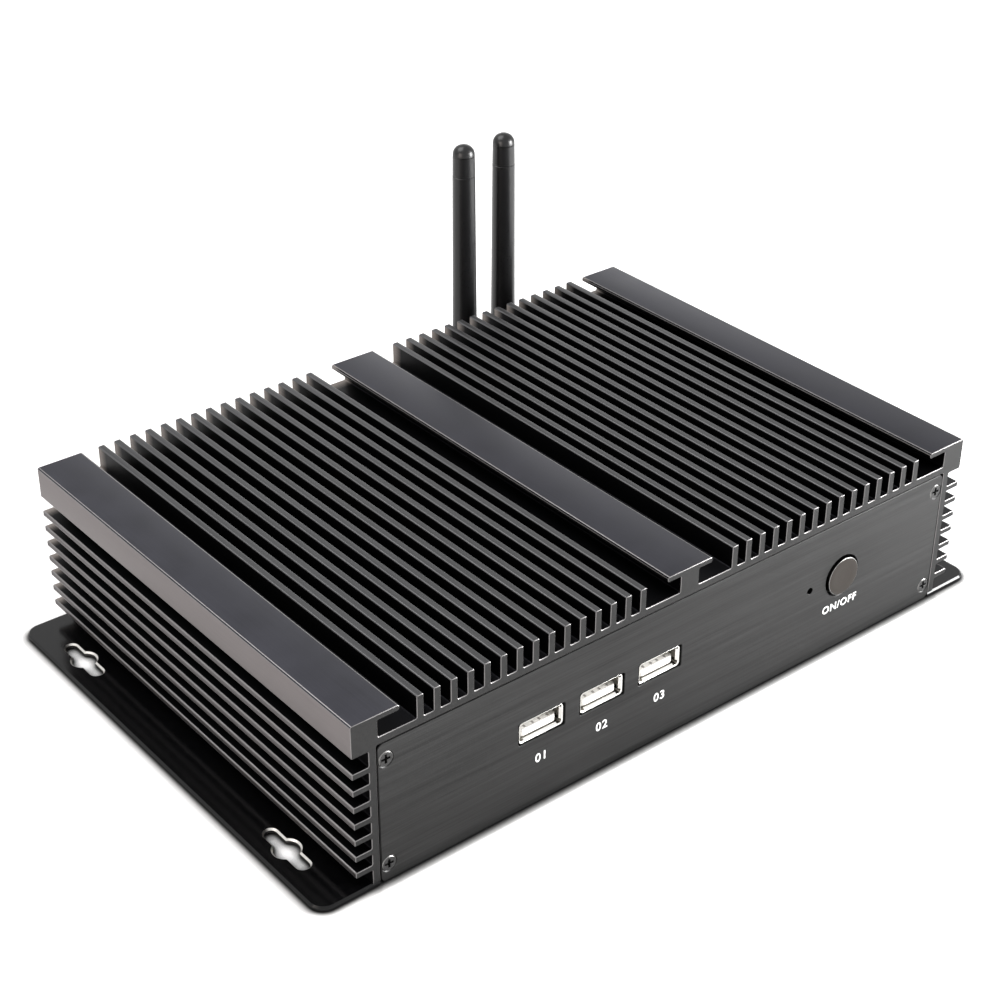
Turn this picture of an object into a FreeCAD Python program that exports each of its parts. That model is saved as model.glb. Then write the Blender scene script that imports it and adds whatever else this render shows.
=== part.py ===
import FreeCAD, Part
import math
import os

import Sketcher

# Fanless industrial mini computer, in millimetres. X runs along the front panel,
# Y to the rear and Z up. The origin is the middle of the base sheet's underside.

SIZES = {
    # Finned case extrusion
    "case_width": 197.0,
    "case_depth": 138.0,
    "case_height": 47.5,
    "top_thickness": 2.0,
    "wall_thickness": 2.0,
    "fin_height": 6.0,
    "fin_thickness": 1.85,
    "fin_count": 15,
    "centre_bay": 14.0,
    "edge_bay": 4.55,
    "centre_cap_width": 14.5,
    "centre_stem_width": 5.9,
    "cap_thickness": 1.45,
    "cap_round": 0.6,
    "corner_block_width": 7.1,
    "corner_block_height": 8.75,
    "corner_cap_reach": 5.9,
    "corner_round": 0.5,
    "side_fin_length": 4.5,
    "side_fin_thickness": 1.55,
    "side_fin_count": 7,
    "side_fin_drop": 12.85,
    "side_fin_rise": 5.5,
    "foot_rail_width": 8.6,
    "foot_rail_height": 6.2,
    "upper_rail_size": 5.0,
    # End panels
    "panel_thickness": 1.5,
    "panel_gap": 0.25,
    "panel_lift": 0.5,
    "panel_round": 1.5,
    "panel_screw_side_inset": 2.5,
    "panel_screw_end_inset": 4.6,
    "cutout_round": 0.5,
    # Base sheet with ears
    "sheet_thickness": 1.5,
    "ear_width": 14.7,
    "ear_round": 4.0,
    "slot_width": 3.2,
    "slot_length": 16.6,
    "slot_hole_width": 6.4,
    "slot_row": 47.0,
    "slot_inset": 6.2,
    "base_screw_inset": 6.0,
    "base_screw_row": 52.0,
    # Fasteners
    "screw_play": 0.05,
    "panel_screw_width": 2.4,
    "panel_screw_head": 4.3,
    "panel_screw_length": 7.0,
    "base_screw_width": 2.9,
    "base_screw_head": 5.6,
    "base_screw_length": 6.0,
    "pan_head_width": 5.4,
    "pan_head_height": 1.9,
    "small_screw_width": 1.9,
    "small_head_width": 3.6,
    "small_head_height": 1.3,
    "recess_depth": 0.7,
    "recess_arm": 0.6,
    # Mainboard and what stands on it
    "board_headroom": 19.6,
    "board_thickness": 1.6,
    "board_left": -88.0,
    "board_width": 124.0,
    "board_end_gap": 0.5,
    "standoff_width": 5.0,
    "standoff_left": 9.0,
    "standoff_right": 4.0,
    "standoff_front": 7.0,
    "standoff_rear": 16.0,
    "board_screw_length": 7.0,
    "solder_gap": 0.05,
    "processor_x": -24.0,
    "processor_y": 5.0,
    "processor_width": 31.0,
    "processor_depth": 24.0,
    "processor_height": 1.2,
    "die_size": 12.0,
    "die_height": 0.4,
    "block_size": 50.0,
    "block_round": 1.5,
    "block_post_inset": 4.0,
    "block_post_width": 7.0,
    "thermal_pad_thickness": 0.5,
    "memory_x": -86.5,
    "memory_y": 0.0,
    "memory_length": 67.6,
    "memory_depth": 30.0,
    "memory_thickness": 1.0,
    "memory_lift": 2.6,
    "memory_socket_width": 6.5,
    "memory_socket_height": 4.4,
    "memory_arm_width": 2.4,
    "memory_arm_reach": 20.0,
    "memory_chip_width": 10.8,
    "memory_chip_depth": 11.5,
    "edge_insert": 3.0,
    "edge_play": 0.1,
    "chip_height": 1.0,
    "card_x": 14.5,
    "card_width": 22.0,
    "card_thickness": 1.0,
    "card_lift": 3.0,
    "card_socket_depth": 7.0,
    "card_socket_height": 5.4,
    "storage_card_y": -53.0,
    "storage_card_length": 42.0,
    "storage_chip_share": 0.55,
    "card_spacing": 4.0,
    "wireless_card_length": 30.0,
    "wireless_chip_share": 0.2,
    "battery_shift": -12.0,
    "battery_gap": 1.5,
    "battery_width": 20.0,
    "battery_height": 3.2,
    "battery_edge": 0.6,
    # Host ports, front and rear
    "port_width": 13.1,
    "port_height": 5.7,
    "port_depth": 14.0,
    "port_wall": 0.3,
    "port_round": 0.8,
    "port_recess": 0.3,
    "port_side_gap": 0.45,
    "port_top_gap": 0.32,
    "port_first": -45.4,
    "port_pitch": 18.5,
    "tongue_width": 11.1,
    "tongue_thickness": 1.9,
    "tongue_setback": 1.0,
    "tongue_rise": 0.45,
    "insulator_depth": 2.2,
    "stack_height": 15.6,
    "stack_first": -32.0,
    "stack_pitch": 17.0,
    # Other rear connectors
    "rear_play": 0.4,
    "network_width": 15.9,
    "network_height": 13.4,
    "network_depth": 21.0,
    "network_first": 4.0,
    "network_pitch": 17.5,
    "network_mouth_width": 11.9,
    "network_mouth_height": 6.9,
    "network_latch_width": 6.0,
    "network_latch_height": 1.6,
    "network_mouth_depth": 13.0,
    "network_floor": 2.6,
    "video_x": -66.0,
    "video_width": 15.0,
    "video_height": 6.0,
    "video_depth": 11.5,
    "video_taper": 2.0,
    "video_tongue_width": 11.2,
    "video_tongue_thickness": 1.2,
    "audio_first": 20.0,
    "audio_pitch": 9.0,
    "audio_width": 7.0,
    "audio_depth": 13.5,
    "audio_height": 5.6,
    "audio_collar_width": 5.8,
    "audio_bore_width": 3.6,
    "audio_bore_depth": 11.0,
    "inlet_x": -80.0,
    "inlet_width": 9.0,
    "inlet_depth": 14.0,
    "inlet_height": 11.0,
    "inlet_axis": 6.4,
    "inlet_bore_width": 6.4,
    "inlet_bore_depth": 10.0,
    "inlet_pin_width": 2.1,
    # Power button, its switch and the indicator
    "button_x": 55.2,
    "button_z": 22.5,
    "button_width": 11.2,
    "button_gap": 0.6,
    "button_proud": 0.6,
    "button_edge": 0.5,
    "button_flange_width": 14.2,
    "button_flange_thickness": 1.0,
    "button_flange_gap": 0.3,
    "plunger_width": 3.0,
    "plunger_length": 5.2,
    "plunger_play": 0.1,
    "switch_size": 8.0,
    "switch_height": 5.5,
    "switch_board_setback": 8.5,
    "switch_board_thickness": 1.6,
    "switch_board_width": 31.0,
    "switch_board_height": 16.0,
    "switch_board_x": 54.5,
    "post_width": 4.2,
    "post_spacing": 22.0,
    "post_rise": 5.2,
    "small_screw_length": 5.0,
    "indicator_x": 43.4,
    "indicator_hole_width": 1.9,
    "indicator_width": 3.0,
    "indicator_length": 5.3,
    "indicator_gap": 0.3,
    "indicator_leg": 0.5,
    # Antennas
    "antenna_x": 52.6,
    "antenna_pitch": 14.9,
    "antenna_z": 13.0,
    "antenna_edge": 0.6,
    "socket_hex": 8.0,
    "socket_flange": 2.2,
    "socket_width": 6.2,
    "socket_reach": 6.0,
    "socket_tail_width": 5.0,
    "socket_tail_length": 4.5,
    "socket_bore_width": 3.6,
    "socket_bore_depth": 4.5,
    "nut_thickness": 2.0,
    "coupling_width": 9.5,
    "coupling_gap": 0.3,
    "coupling_length": 6.2,
    "coupling_collar": 1.9,
    "spigot_width": 5.0,
    "swivel_play": 0.06,
    "swivel_gap": 0.3,
    "elbow_width": 9.2,
    "elbow_length": 2.9,
    "fork_width": 8.0,
    "fork_height": 8.8,
    "whip_foot_thickness": 4.2,
    "whip_foot_width": 8.0,
    "whip_foot_gap": 0.3,
    "hinge_side_gap": 0.12,
    "hinge_pin_width": 2.0,
    "hinge_play": 0.05,
    "whip_length": 80.3,
    "whip_collar_start": 5.5,
    "whip_collar_length": 3.2,
    "whip_collar_width": 8.2,
    "whip_bottom_width": 7.7,
    "whip_tip_width": 6.5,
    "whip_dome": 3.0,
    "whip_ring_drop": 6.0,
    "whip_ring_depth": 0.12,
    "whip_ring_width": 0.5,
    # Leads inside the case
    "lead_width": 1.2,
    "lead_spacing": 4.8,
    "switch_lead_width": 2.2,
}

ORIGIN, CENTRE = -1, 3
UP = FreeCAD.Vector(0, 0, 1)
SIDES = (1, -1)
HALF = 0.5

doc = FreeCAD.newDocument("mini_computer")


class Size:
    """A length that carries its number and the sheet formula that gives it."""

    def __init__(self, number, formula):
        self.number = float(number)
        self.formula = formula

    def __add__(self, other):
        other = size(other)
        return Size(self.number + other.number, f"({self.formula} + {other.formula})")

    def __sub__(self, other):
        other = size(other)
        return Size(self.number - other.number, f"({self.formula} - {other.formula})")

    def __mul__(self, other):
        other = size(other)
        return Size(self.number * other.number, f"({self.formula} * {other.formula})")

    def __truediv__(self, other):
        other = size(other)
        return Size(self.number / other.number, f"({self.formula} / {other.formula})")

    def __neg__(self):
        return Size(-self.number, f"(0 - {self.formula})")

    def __radd__(self, other):
        return size(other) + self

    def __rsub__(self, other):
        return size(other) - self

    def __rmul__(self, other):
        return size(other) * self


def size(value):
    """A plain number as a size that nothing drives."""
    if isinstance(value, Size):
        return value
    text = f"{value:.9g}"
    return Size(value, text if value >= 0 else f"(0 - {-value:.9g})")


class Sheet:
    """The driving dimensions, one cell each, read back by name."""

    def __init__(self, values):
        self.values = values
        cells = doc.addObject("Spreadsheet::Sheet", "Sizes")
        for row, (alias, value) in enumerate(values.items(), start=1):
            cells.set(f"A{row}", alias)
            cells.set(f"B{row}", f"{value:g}")
            cells.setAlias(f"B{row}", alias)
        doc.recompute()

    def __getattr__(self, alias):
        return Size(self.values[alias], f"Sizes.{alias}")


s = Sheet(SIZES)


class Places:
    """Lines that several pieces share, all worked out from the sheet."""

    bar = s.case_width / 2
    wall = bar - s.side_fin_length
    inner = wall - s.wall_thickness
    plate = s.case_height - s.fin_height
    ceiling = plate - s.top_thickness
    foot = s.sheet_thickness
    end = s.case_depth / 2
    panel_back = end - s.panel_thickness
    panel_side = inner - s.panel_gap
    panel_top = ceiling - s.panel_gap
    ear = wall + s.ear_width
    screw_x = inner - s.panel_screw_side_inset
    screw_low = s.panel_lift + s.panel_screw_end_inset
    screw_high = panel_top - s.panel_screw_end_inset
    corner_tip = bar - s.corner_block_width - s.corner_cap_reach
    fin_row = corner_tip - s.edge_bay - s.fin_thickness - s.centre_bay
    side_fin_top = s.case_height - s.side_fin_drop
    side_fin_row = side_fin_top - s.side_fin_thickness - s.side_fin_rise
    board_right = s.board_left + s.board_width
    board_end = panel_back - s.board_end_gap
    board_top = ceiling - s.board_headroom
    board_under = board_top - s.board_thickness
    solder = board_top + s.solder_gap
    port_middle = solder + s.port_height / 2
    port_face = end - s.port_recess
    post_reach = s.block_size / 2 - s.block_post_inset
    block_under = board_top + s.processor_height + s.die_height
    block_top = ceiling - s.thermal_pad_thickness
    storage_card_end = s.storage_card_y + s.card_socket_depth - s.edge_insert + s.storage_card_length
    wireless_card_y = storage_card_end + s.card_spacing
    wireless_card_end = wireless_card_y + s.card_socket_depth - s.edge_insert + s.wireless_card_length
    battery_y = s.processor_y - s.block_size / 2 - s.battery_gap - s.battery_width / 2
    switch_board_face = panel_back - s.switch_board_setback
    switch_board_back = switch_board_face - s.switch_board_thickness
    button_back = panel_back - s.button_flange_gap - s.button_flange_thickness
    coupling_start = end + s.nut_thickness + s.coupling_gap
    coupling_end = coupling_start + s.coupling_length
    elbow_start = coupling_end + s.swivel_gap
    fork_floor = elbow_start + s.elbow_length
    pivot = fork_floor + s.whip_foot_gap + s.whip_foot_width / 2


def standoff_places():
    left = s.board_left + s.standoff_left
    right = Places.board_right - s.standoff_right
    front = s.standoff_front - Places.board_end
    rear = Places.board_end - s.standoff_rear
    return [(x, y) for x in (left, right) for y in (front, rear)]


def block_post_places():
    reach = Places.post_reach
    return [(s.processor_x + side * reach, s.processor_y + end * reach) for side in SIDES for end in SIDES]


def base_screw_places():
    x = Places.inner - s.base_screw_inset
    rows = (-s.base_screw_row, size(0), s.base_screw_row)
    return [(side * x, row) for side in SIDES for row in rows]


def panel_screw_places():
    return [(side * Places.screw_x, z) for side in SIDES for z in (Places.screw_low, Places.screw_high)]


def port_places():
    return [s.port_first + s.port_pitch * index for index in range(3)]


def pair_places(first, pitch):
    return [first, first + pitch]


# Sketches, bodies and primitives


def bind(part, **sizes):
    for name, value in sizes.items():
        part.setExpression(name, size(value).formula)


def place(part, x=0, y=0, z=0, turn=None):
    part.Placement = FreeCAD.Placement(FreeCAD.Vector(), turn or FreeCAD.Rotation())
    for axis, value in zip("xyz", (x, y, z)):
        part.setExpression(f"Placement.Base.{axis}", size(value).formula)
    return part


def new_body(label):
    body = doc.addObject("PartDesign::Body", label)
    body.Label = label
    return body


def sketch_on(body, role, offset=0):
    """A sketch on one of the body's own planes, moved along that plane's normal."""
    plane = next(item for item in body.Origin.OriginFeatures if item.Role == role)
    flat = body.newObject("Sketcher::SketchObject", f"{body.Name}_sketch")
    flat.AttachmentSupport = (plane, [""])
    flat.MapMode = "FlatFace"
    flat.setExpression("AttachmentOffset.Base.z", size(offset).formula)
    return flat


def vector(point):
    return FreeCAD.Vector(point[0].number, point[1].number, 0)


def hold(flat, kind, *rest, value):
    number = flat.addConstraint(Sketcher.Constraint(kind, *rest, value.number))
    flat.setExpression(f"Constraints[{number}]", value.formula)


def hold_point(flat, part, end, point):
    hold(flat, "DistanceX", ORIGIN, 1, part, end, value=point[0])
    hold(flat, "DistanceY", ORIGIN, 1, part, end, value=point[1])


def join(flat, kind, *ends):
    flat.addConstraint(Sketcher.Constraint(kind, *ends))


def arc_between(centre, radius, start, stop):
    """The arc that runs anticlockwise from start to stop."""
    angles = [math.atan2(point.y - centre.y, point.x - centre.x) for point in (start, stop)]
    if angles[1] < angles[0]:
        angles[1] += 2 * math.pi
    return Part.ArcOfCircle(Part.Circle(centre, UP, radius), *angles)


def step_towards(corner, target, radius):
    """The point one radius away from a corner, along a level or upright edge."""
    across = target[0].number - corner[0].number
    along = target[1].number - corner[1].number
    if abs(across) > abs(along):
        return (corner[0] + radius * math.copysign(1, across), corner[1])
    return (corner[0], corner[1] + radius * math.copysign(1, along))


def outline(flat, corners):
    """A closed outline. A corner that has a third value is rounded by that radius."""
    corners = [tuple(size(value) for value in corner) for corner in corners]
    arrive, leave = [], []
    for index, corner in enumerate(corners):
        point = corner[:2]
        if len(corner) == 3:
            arrive.append(step_towards(point, corners[index - 1], corner[2]))
            leave.append(step_towards(point, corners[(index + 1) % len(corners)], corner[2]))
        else:
            arrive.append(point)
            leave.append(point)
    lines = []
    for index in range(len(corners)):
        start, stop = vector(leave[index]), vector(arrive[(index + 1) % len(corners)])
        lines.append(flat.addGeometry(Part.LineSegment(start, stop), False))
    for index, corner in enumerate(corners):
        before, after = lines[index - 1], lines[index]
        hold_point(flat, after, 1, leave[index])
        if len(corner) == 2:
            join(flat, "Coincident", before, 2, after, 1)
            continue
        hold_point(flat, before, 2, arrive[index])
        start, stop = vector(arrive[index]), vector(leave[index])
        centre = start + stop - vector(corner)
        anticlockwise = (start - centre).cross(stop - centre).z > 0
        if anticlockwise:
            arc = flat.addGeometry(arc_between(centre, corner[2].number, start, stop), False)
        else:
            arc = flat.addGeometry(arc_between(centre, corner[2].number, stop, start), False)
        near, far = (1, 2) if anticlockwise else (2, 1)
        join(flat, "Coincident", before, 2, arc, near)
        join(flat, "Coincident", arc, far, after, 1)
        hold(flat, "Radius", arc, value=corner[2])


def rectangle(flat, x_low, x_high, y_low, y_high, radius=None):
    rest = () if radius is None else (radius,)
    outline(flat, [(x, y, *rest) for x, y in
                   ((x_low, y_low), (x_high, y_low), (x_high, y_high), (x_low, y_high))])


def circle(flat, x, y, width):
    x, y, radius = size(x), size(y), size(width) / 2
    part = flat.addGeometry(Part.Circle(vector((x, y)), UP, radius.number), False)
    hold_point(flat, part, CENTRE, (x, y))
    hold(flat, "Radius", part, value=radius)


def long_slot(flat, x, y, length, width):
    """A slot with round ends, along the sketch's second axis."""
    reach, radius = (length - width) / 2, width / 2
    left, right, low, high = x - radius, x + radius, y - reach, y + reach
    top = flat.addGeometry(arc_between(vector((x, high)), radius.number,
                                       vector((right, high)), vector((left, high))), False)
    bottom = flat.addGeometry(arc_between(vector((x, low)), radius.number,
                                          vector((left, low)), vector((right, low))), False)
    down = flat.addGeometry(Part.LineSegment(vector((left, high)), vector((left, low))), False)
    rise = flat.addGeometry(Part.LineSegment(vector((right, low)), vector((right, high))), False)
    for first, first_end, second, second_end in ((top, 2, down, 1), (down, 2, bottom, 1),
                                                 (bottom, 2, rise, 1), (rise, 2, top, 1)):
        join(flat, "Tangent", first, first_end, second, second_end)
    join(flat, "Equal", top, bottom)
    hold_point(flat, top, CENTRE, (x, high))
    hold_point(flat, bottom, CENTRE, (x, low))
    hold(flat, "Radius", top, value=radius)


def hexagon(flat, x, y, width):
    """A hexagon of the given width across its flats."""
    reach = width / 2 / math.cos(math.pi / 6)
    angles = [math.pi / 3 * corner for corner in range(6)]
    outline(flat, [(x + reach * math.cos(angle), y + reach * math.sin(angle)) for angle in angles])


def cross(flat, arm, reach):
    """A plus sign, for a driver's recess."""
    quarter = [(reach, -arm), (reach, arm), (arm, arm)]
    corners = []
    for turn in range(4):
        for x, y in quarter:
            for _ in range(turn):
                x, y = -y, x
            corners.append((x, y))
    outline(flat, corners)


def pad(body, flat, length, both=False, back=False):
    part = body.newObject("PartDesign::Pad", f"{body.Name}_pad")
    part.Profile = flat
    bind(part, Length=length)
    part.Midplane = both
    part.Reversed = back
    body.Tip = part
    return part


def cut_checked(body, part):
    """Make a cut the body's last step, and see that it removed something."""
    before = body.Shape.Volume
    body.Tip = part
    doc.recompute()
    if not body.Shape.Volume < before:
        raise RuntimeError(f"{part.Name} cuts nothing")
    return part


def pocket(body, flat, length=None, back=False):
    """A pocket of the given length against the sketch's normal, or through everything."""
    doc.recompute()
    part = body.newObject("PartDesign::Pocket", f"{body.Name}_pocket")
    part.Profile = flat
    if length is None:
        part.Type = "ThroughAll"
        part.Midplane = True
    else:
        bind(part, Length=length)
        part.Reversed = back
    return cut_checked(body, part)


def countersunk_holes(body, flat, width, head, back=False):
    doc.recompute()
    part = body.newObject("PartDesign::Hole", f"{body.Name}_hole")
    part.Profile = flat
    part.DepthType = "ThroughAll"
    part.HoleCutType = "Countersink"
    part.HoleCutCustomValues = True
    part.HoleCutCountersinkAngle = 90
    part.Reversed = back
    bind(part, Diameter=width, HoleCutDiameter=head)
    return cut_checked(body, part)


def revolve(body, flat, axis):
    part = body.newObject("PartDesign::Revolution", f"{body.Name}_turned")
    part.Profile = flat
    part.ReferenceAxis = (flat, [axis])
    part.Angle = 360
    body.Tip = part
    return part


def repeat(body, feature, flat, axis, length, count, back=False):
    part = body.newObject("PartDesign::LinearPattern", f"{body.Name}_row")
    part.Originals = [feature]
    part.Direction = (flat, [axis])
    part.Reversed = back
    bind(part, Length=length, Occurrences=count)
    body.Tip = part
    return part


def box(label, x, y, z):
    """A block between pairs of low and high sizes."""
    part = doc.addObject("Part::Box", label)
    part.Label = label
    sides = [(size(low), size(high)) for low, high in (x, y, z)]
    for name, (low, high) in zip(("Length", "Width", "Height"), sides):
        part.setExpression(name, (high - low).formula)
    return place(part, *[low for low, high in sides])


def fuse(label, parts):
    whole = doc.addObject("Part::MultiFuse", label)
    whole.Label = label
    whole.Shapes = parts
    return whole


def group(label, master, placings):
    """One node that holds separate copies of a fastener, each a link with its own place."""
    links = []
    for x, y, z, turn in placings:
        link = doc.addObject("App::Link", f"{label}_link")
        link.LinkedObject = master
        links.append(place(link, x, y, z, turn))
    whole = doc.addObject("Part::Compound", label)
    whole.Label = label
    whole.Links = links
    return whole


def about_x(degrees):
    return FreeCAD.Rotation(FreeCAD.Vector(1, 0, 0), degrees)


def about_z(degrees):
    return FreeCAD.Rotation(UP, degrees)


# Case


def heatsink_housing():
    """One extrusion: roof, walls, two corner bars, a centre bar, 30 top and 14 side fins."""
    body = new_body("heatsink_housing")
    top = s.case_height
    under_cap = top - s.cap_thickness
    block_side = Places.bar - s.corner_block_width
    tip = Places.corner_tip
    stem = s.centre_stem_width / 2
    cap = s.centre_cap_width / 2
    half = [
        (Places.inner, Places.foot),
        (Places.wall, Places.foot),
        (Places.wall, top - s.corner_block_height),
        (Places.bar, top - s.corner_block_height),
        (Places.bar, top, s.corner_round),
        (tip, top, s.cap_round),
        (tip, under_cap, s.cap_round),
        (block_side, under_cap),
        (block_side, Places.plate),
        (stem, Places.plate),
        (stem, under_cap),
        (cap, under_cap, s.cap_round),
        (cap, top, s.cap_round),
    ]
    other_half = [(-corner[0], *corner[1:]) for corner in reversed(half)]
    hollow = [(-Places.inner, Places.ceiling), (Places.inner, Places.ceiling)]
    section = sketch_on(body, "XZ_Plane")
    outline(section, half + other_half + hollow)
    pad(body, section, s.case_depth, both=True)
    for side in SIDES:
        top_fins(body, side)
        side_fins(body, side)
        rails(body, side)
    bores = sketch_on(body, "XZ_Plane")
    for x, z in panel_screw_places():
        circle(bores, x, z, s.panel_screw_width + 2 * s.screw_play)
    pocket(body, bores)
    sockets = sketch_on(body, "XY_Plane")
    for x, y in base_screw_places():
        circle(sockets, x, y, s.base_screw_width + 2 * s.screw_play)
    pocket(body, sockets, s.base_screw_length + s.screw_play, back=True)
    return body


def top_fins(body, side):
    fin = sketch_on(body, "XZ_Plane")
    near = s.centre_bay
    root = Places.plate - s.top_thickness * HALF
    rectangle(fin, side * near, side * (near + s.fin_thickness), root, s.case_height)
    first = pad(body, fin, s.case_depth, both=True)
    repeat(body, first, fin, "H_Axis", Places.fin_row, s.fin_count, back=side < 0)


def side_fins(body, side):
    fin = sketch_on(body, "XZ_Plane")
    top = Places.side_fin_top
    root = Places.wall - s.wall_thickness * HALF
    rectangle(fin, side * root, side * Places.bar, top - s.side_fin_thickness, top)
    first = pad(body, fin, s.case_depth, both=True)
    repeat(body, first, fin, "V_Axis", Places.side_fin_row, s.side_fin_count, back=True)


def rails(body, side):
    """Ribs inside the wall, cut back at both ends, that the panels rest against."""
    root = side * (Places.inner + s.wall_thickness * HALF)
    ribs = sketch_on(body, "XZ_Plane")
    rectangle(ribs, side * (Places.inner - s.foot_rail_width), root,
              Places.foot, Places.foot + s.foot_rail_height)
    rectangle(ribs, side * (Places.inner - s.upper_rail_size), root,
              Places.screw_high - s.upper_rail_size / 2, Places.screw_high + s.upper_rail_size / 2)
    pad(body, ribs, 2 * Places.panel_back, both=True)


def end_panel(label, rear, cut_outs):
    """A plate set flush into an end of the case, with countersunk corner holes."""
    body = new_body(label)
    offset = -Places.end if rear else Places.end
    face = sketch_on(body, "XZ_Plane", offset)
    rectangle(face, -Places.panel_side, Places.panel_side, s.panel_lift, Places.panel_top, s.panel_round)
    cut_outs(face)
    pad(body, face, s.panel_thickness, back=not rear)
    holes = sketch_on(body, "XZ_Plane", offset)
    for x, z in panel_screw_places():
        circle(holes, x, z, s.panel_screw_width)
    countersunk_holes(body, holes, s.panel_screw_width + 2 * s.screw_play,
                      s.panel_screw_head + 2 * s.screw_play, back=rear)
    return body


def front_cut_outs(face):
    for x in port_places():
        side, high = s.port_width / 2 + s.port_side_gap, s.port_height / 2 + s.port_top_gap
        rectangle(face, x - side, x + side, Places.port_middle - high, Places.port_middle + high,
                  s.cutout_round)
    circle(face, s.button_x, s.button_z, s.button_width + 2 * s.button_gap)
    circle(face, s.indicator_x, s.button_z, s.indicator_hole_width)


def rear_cut_outs(face):
    def window(x, width, low, high):
        rectangle(face, x - width / 2 - s.rear_play, x + width / 2 + s.rear_play,
                  low - s.rear_play, high + s.rear_play, s.cutout_round)

    for x in pair_places(s.network_first, -s.network_pitch):
        window(x, s.network_width, Places.solder, Places.solder + s.network_height)
    for x in pair_places(s.stack_first, -s.stack_pitch):
        window(x, s.port_width, Places.solder, Places.solder + s.stack_height)
    window(s.video_x, s.video_width, Places.solder, Places.solder + s.video_height)
    for x in pair_places(s.audio_first, s.audio_pitch):
        circle(face, x, Places.solder + s.audio_height / 2, s.audio_collar_width + s.rear_play)
    circle(face, s.inlet_x, Places.solder + s.inlet_axis, s.inlet_bore_width + s.rear_play)
    for x in pair_places(s.antenna_x, s.antenna_pitch):
        circle(face, x, s.antenna_z, s.socket_width + 2 * s.screw_play)


def base_plate():
    """Bottom sheet with two ears; its middle stops short of the end panels."""
    body = new_body("base_plate")
    back = Places.panel_back - s.panel_gap
    quarter = [(Places.inner, back), (Places.inner, Places.end), (Places.ear, Places.end, s.ear_round)]
    right = [(x, -y, *rest) for x, y, *rest in quarter] + quarter[::-1]
    left = [(-x, -y, *rest) for x, y, *rest in right]
    blank = sketch_on(body, "XY_Plane")
    outline(blank, right + left)
    pad(body, blank, s.sheet_thickness)
    slots = sketch_on(body, "XY_Plane")
    holes = sketch_on(body, "XY_Plane")
    for side in SIDES:
        for row in SIDES:
            x, y = side * (Places.ear - s.slot_inset), row * s.slot_row
            long_slot(slots, x, y, s.slot_length, s.slot_width)
            circle(holes, x, y, s.slot_hole_width)
    pocket(body, slots)
    pocket(body, holes)
    screws = sketch_on(body, "XY_Plane")
    for x, y in base_screw_places():
        circle(screws, x, y, s.base_screw_width)
    countersunk_holes(body, screws, s.base_screw_width + 2 * s.screw_play,
                      s.base_screw_head + 2 * s.screw_play, back=True)
    return body


# Fasteners. Each is turned about Z with its head's outer face at the origin.


def screw(label, head, shank, length, head_height=None):
    """A countersunk screw, or a pan-head one where a head height is given."""
    body = new_body(label)
    turned = sketch_on(body, "XZ_Plane")
    if head_height is None:
        under = -(head - shank) / 2
        corners = [(0, 0), (head / 2, 0), (shank / 2, under), (shank / 2, -length), (0, -length)]
        depth = s.recess_depth
    else:
        crown = head_height / 3
        corners = [(0, 0), (head / 2 - crown, 0), (head / 2, -crown),
                   (head / 2, -head_height), (shank / 2, -head_height),
                   (shank / 2, -head_height - length), (0, -head_height - length)]
        depth = head_height * HALF
    outline(turned, corners)
    revolve(body, turned, "V_Axis")
    recess = sketch_on(body, "XY_Plane")
    arm = s.recess_arm / 2
    cross(recess, arm, head / 4)
    pocket(body, recess, depth)
    return body


def panel_screws():
    master = screw("panel_screw", s.panel_screw_head, s.panel_screw_width, s.panel_screw_length)
    front = [(x, -Places.end, z, about_x(90)) for x, z in panel_screw_places()]
    rear = [(x, Places.end, z, about_x(-90)) for x, z in panel_screw_places()]
    return group("panel_screws", master, front + rear)


def base_screws():
    master = screw("base_screw", s.base_screw_head, s.base_screw_width, s.base_screw_length)
    return group("base_screws", master, [(x, y, 0, about_x(180)) for x, y in base_screw_places()])


def mainboard_screws():
    master = screw("mainboard_screw", s.pan_head_width, s.base_screw_width,
                   s.board_screw_length, s.pan_head_height)
    z = Places.board_top + s.pan_head_height
    return group("mainboard_screws", master, [(x, y, z, about_x(0)) for x, y in standoff_places()])


def block_screws():
    master = screw("block_screw", s.pan_head_width, s.base_screw_width,
                   s.board_screw_length, s.pan_head_height)
    z = Places.board_under - s.pan_head_height
    return group("block_screws", master, [(x, y, z, about_x(180)) for x, y in block_post_places()])


def board_standoffs():
    body = new_body("board_standoff")
    column = sketch_on(body, "XY_Plane")
    hexagon(column, size(0), size(0), s.standoff_width)
    pad(body, column, Places.board_under - Places.foot)
    bore = sketch_on(body, "XY_Plane", Places.board_under - Places.foot)
    circle(bore, 0, 0, s.base_screw_width + 2 * s.screw_play)
    pocket(body, bore, s.board_screw_length)
    return group("board_standoffs", body,
                 [(x, y, Places.foot, about_x(0)) for x, y in standoff_places()])


# Mainboard and what it carries


def mainboard():
    body = new_body("mainboard")
    flat = sketch_on(body, "XY_Plane", Places.board_under)
    rectangle(flat, s.board_left, Places.board_right, -Places.board_end, Places.board_end)
    for x, y in standoff_places() + block_post_places():
        circle(flat, x, y, s.base_screw_width + 4 * s.screw_play)
    pad(body, flat, s.board_thickness)
    return body


def processor():
    def tier(label, width, depth, low, height):
        return box(label, (s.processor_x - width / 2, s.processor_x + width / 2),
                   (s.processor_y - depth / 2, s.processor_y + depth / 2), (low, low + height))

    package = tier("processor_package", s.processor_width, s.processor_depth,
                   Places.board_top, s.processor_height)
    die = tier("processor_die", s.die_size, s.die_size,
               Places.board_top + s.processor_height, s.die_height)
    return fuse("processor", [package, die])


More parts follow.
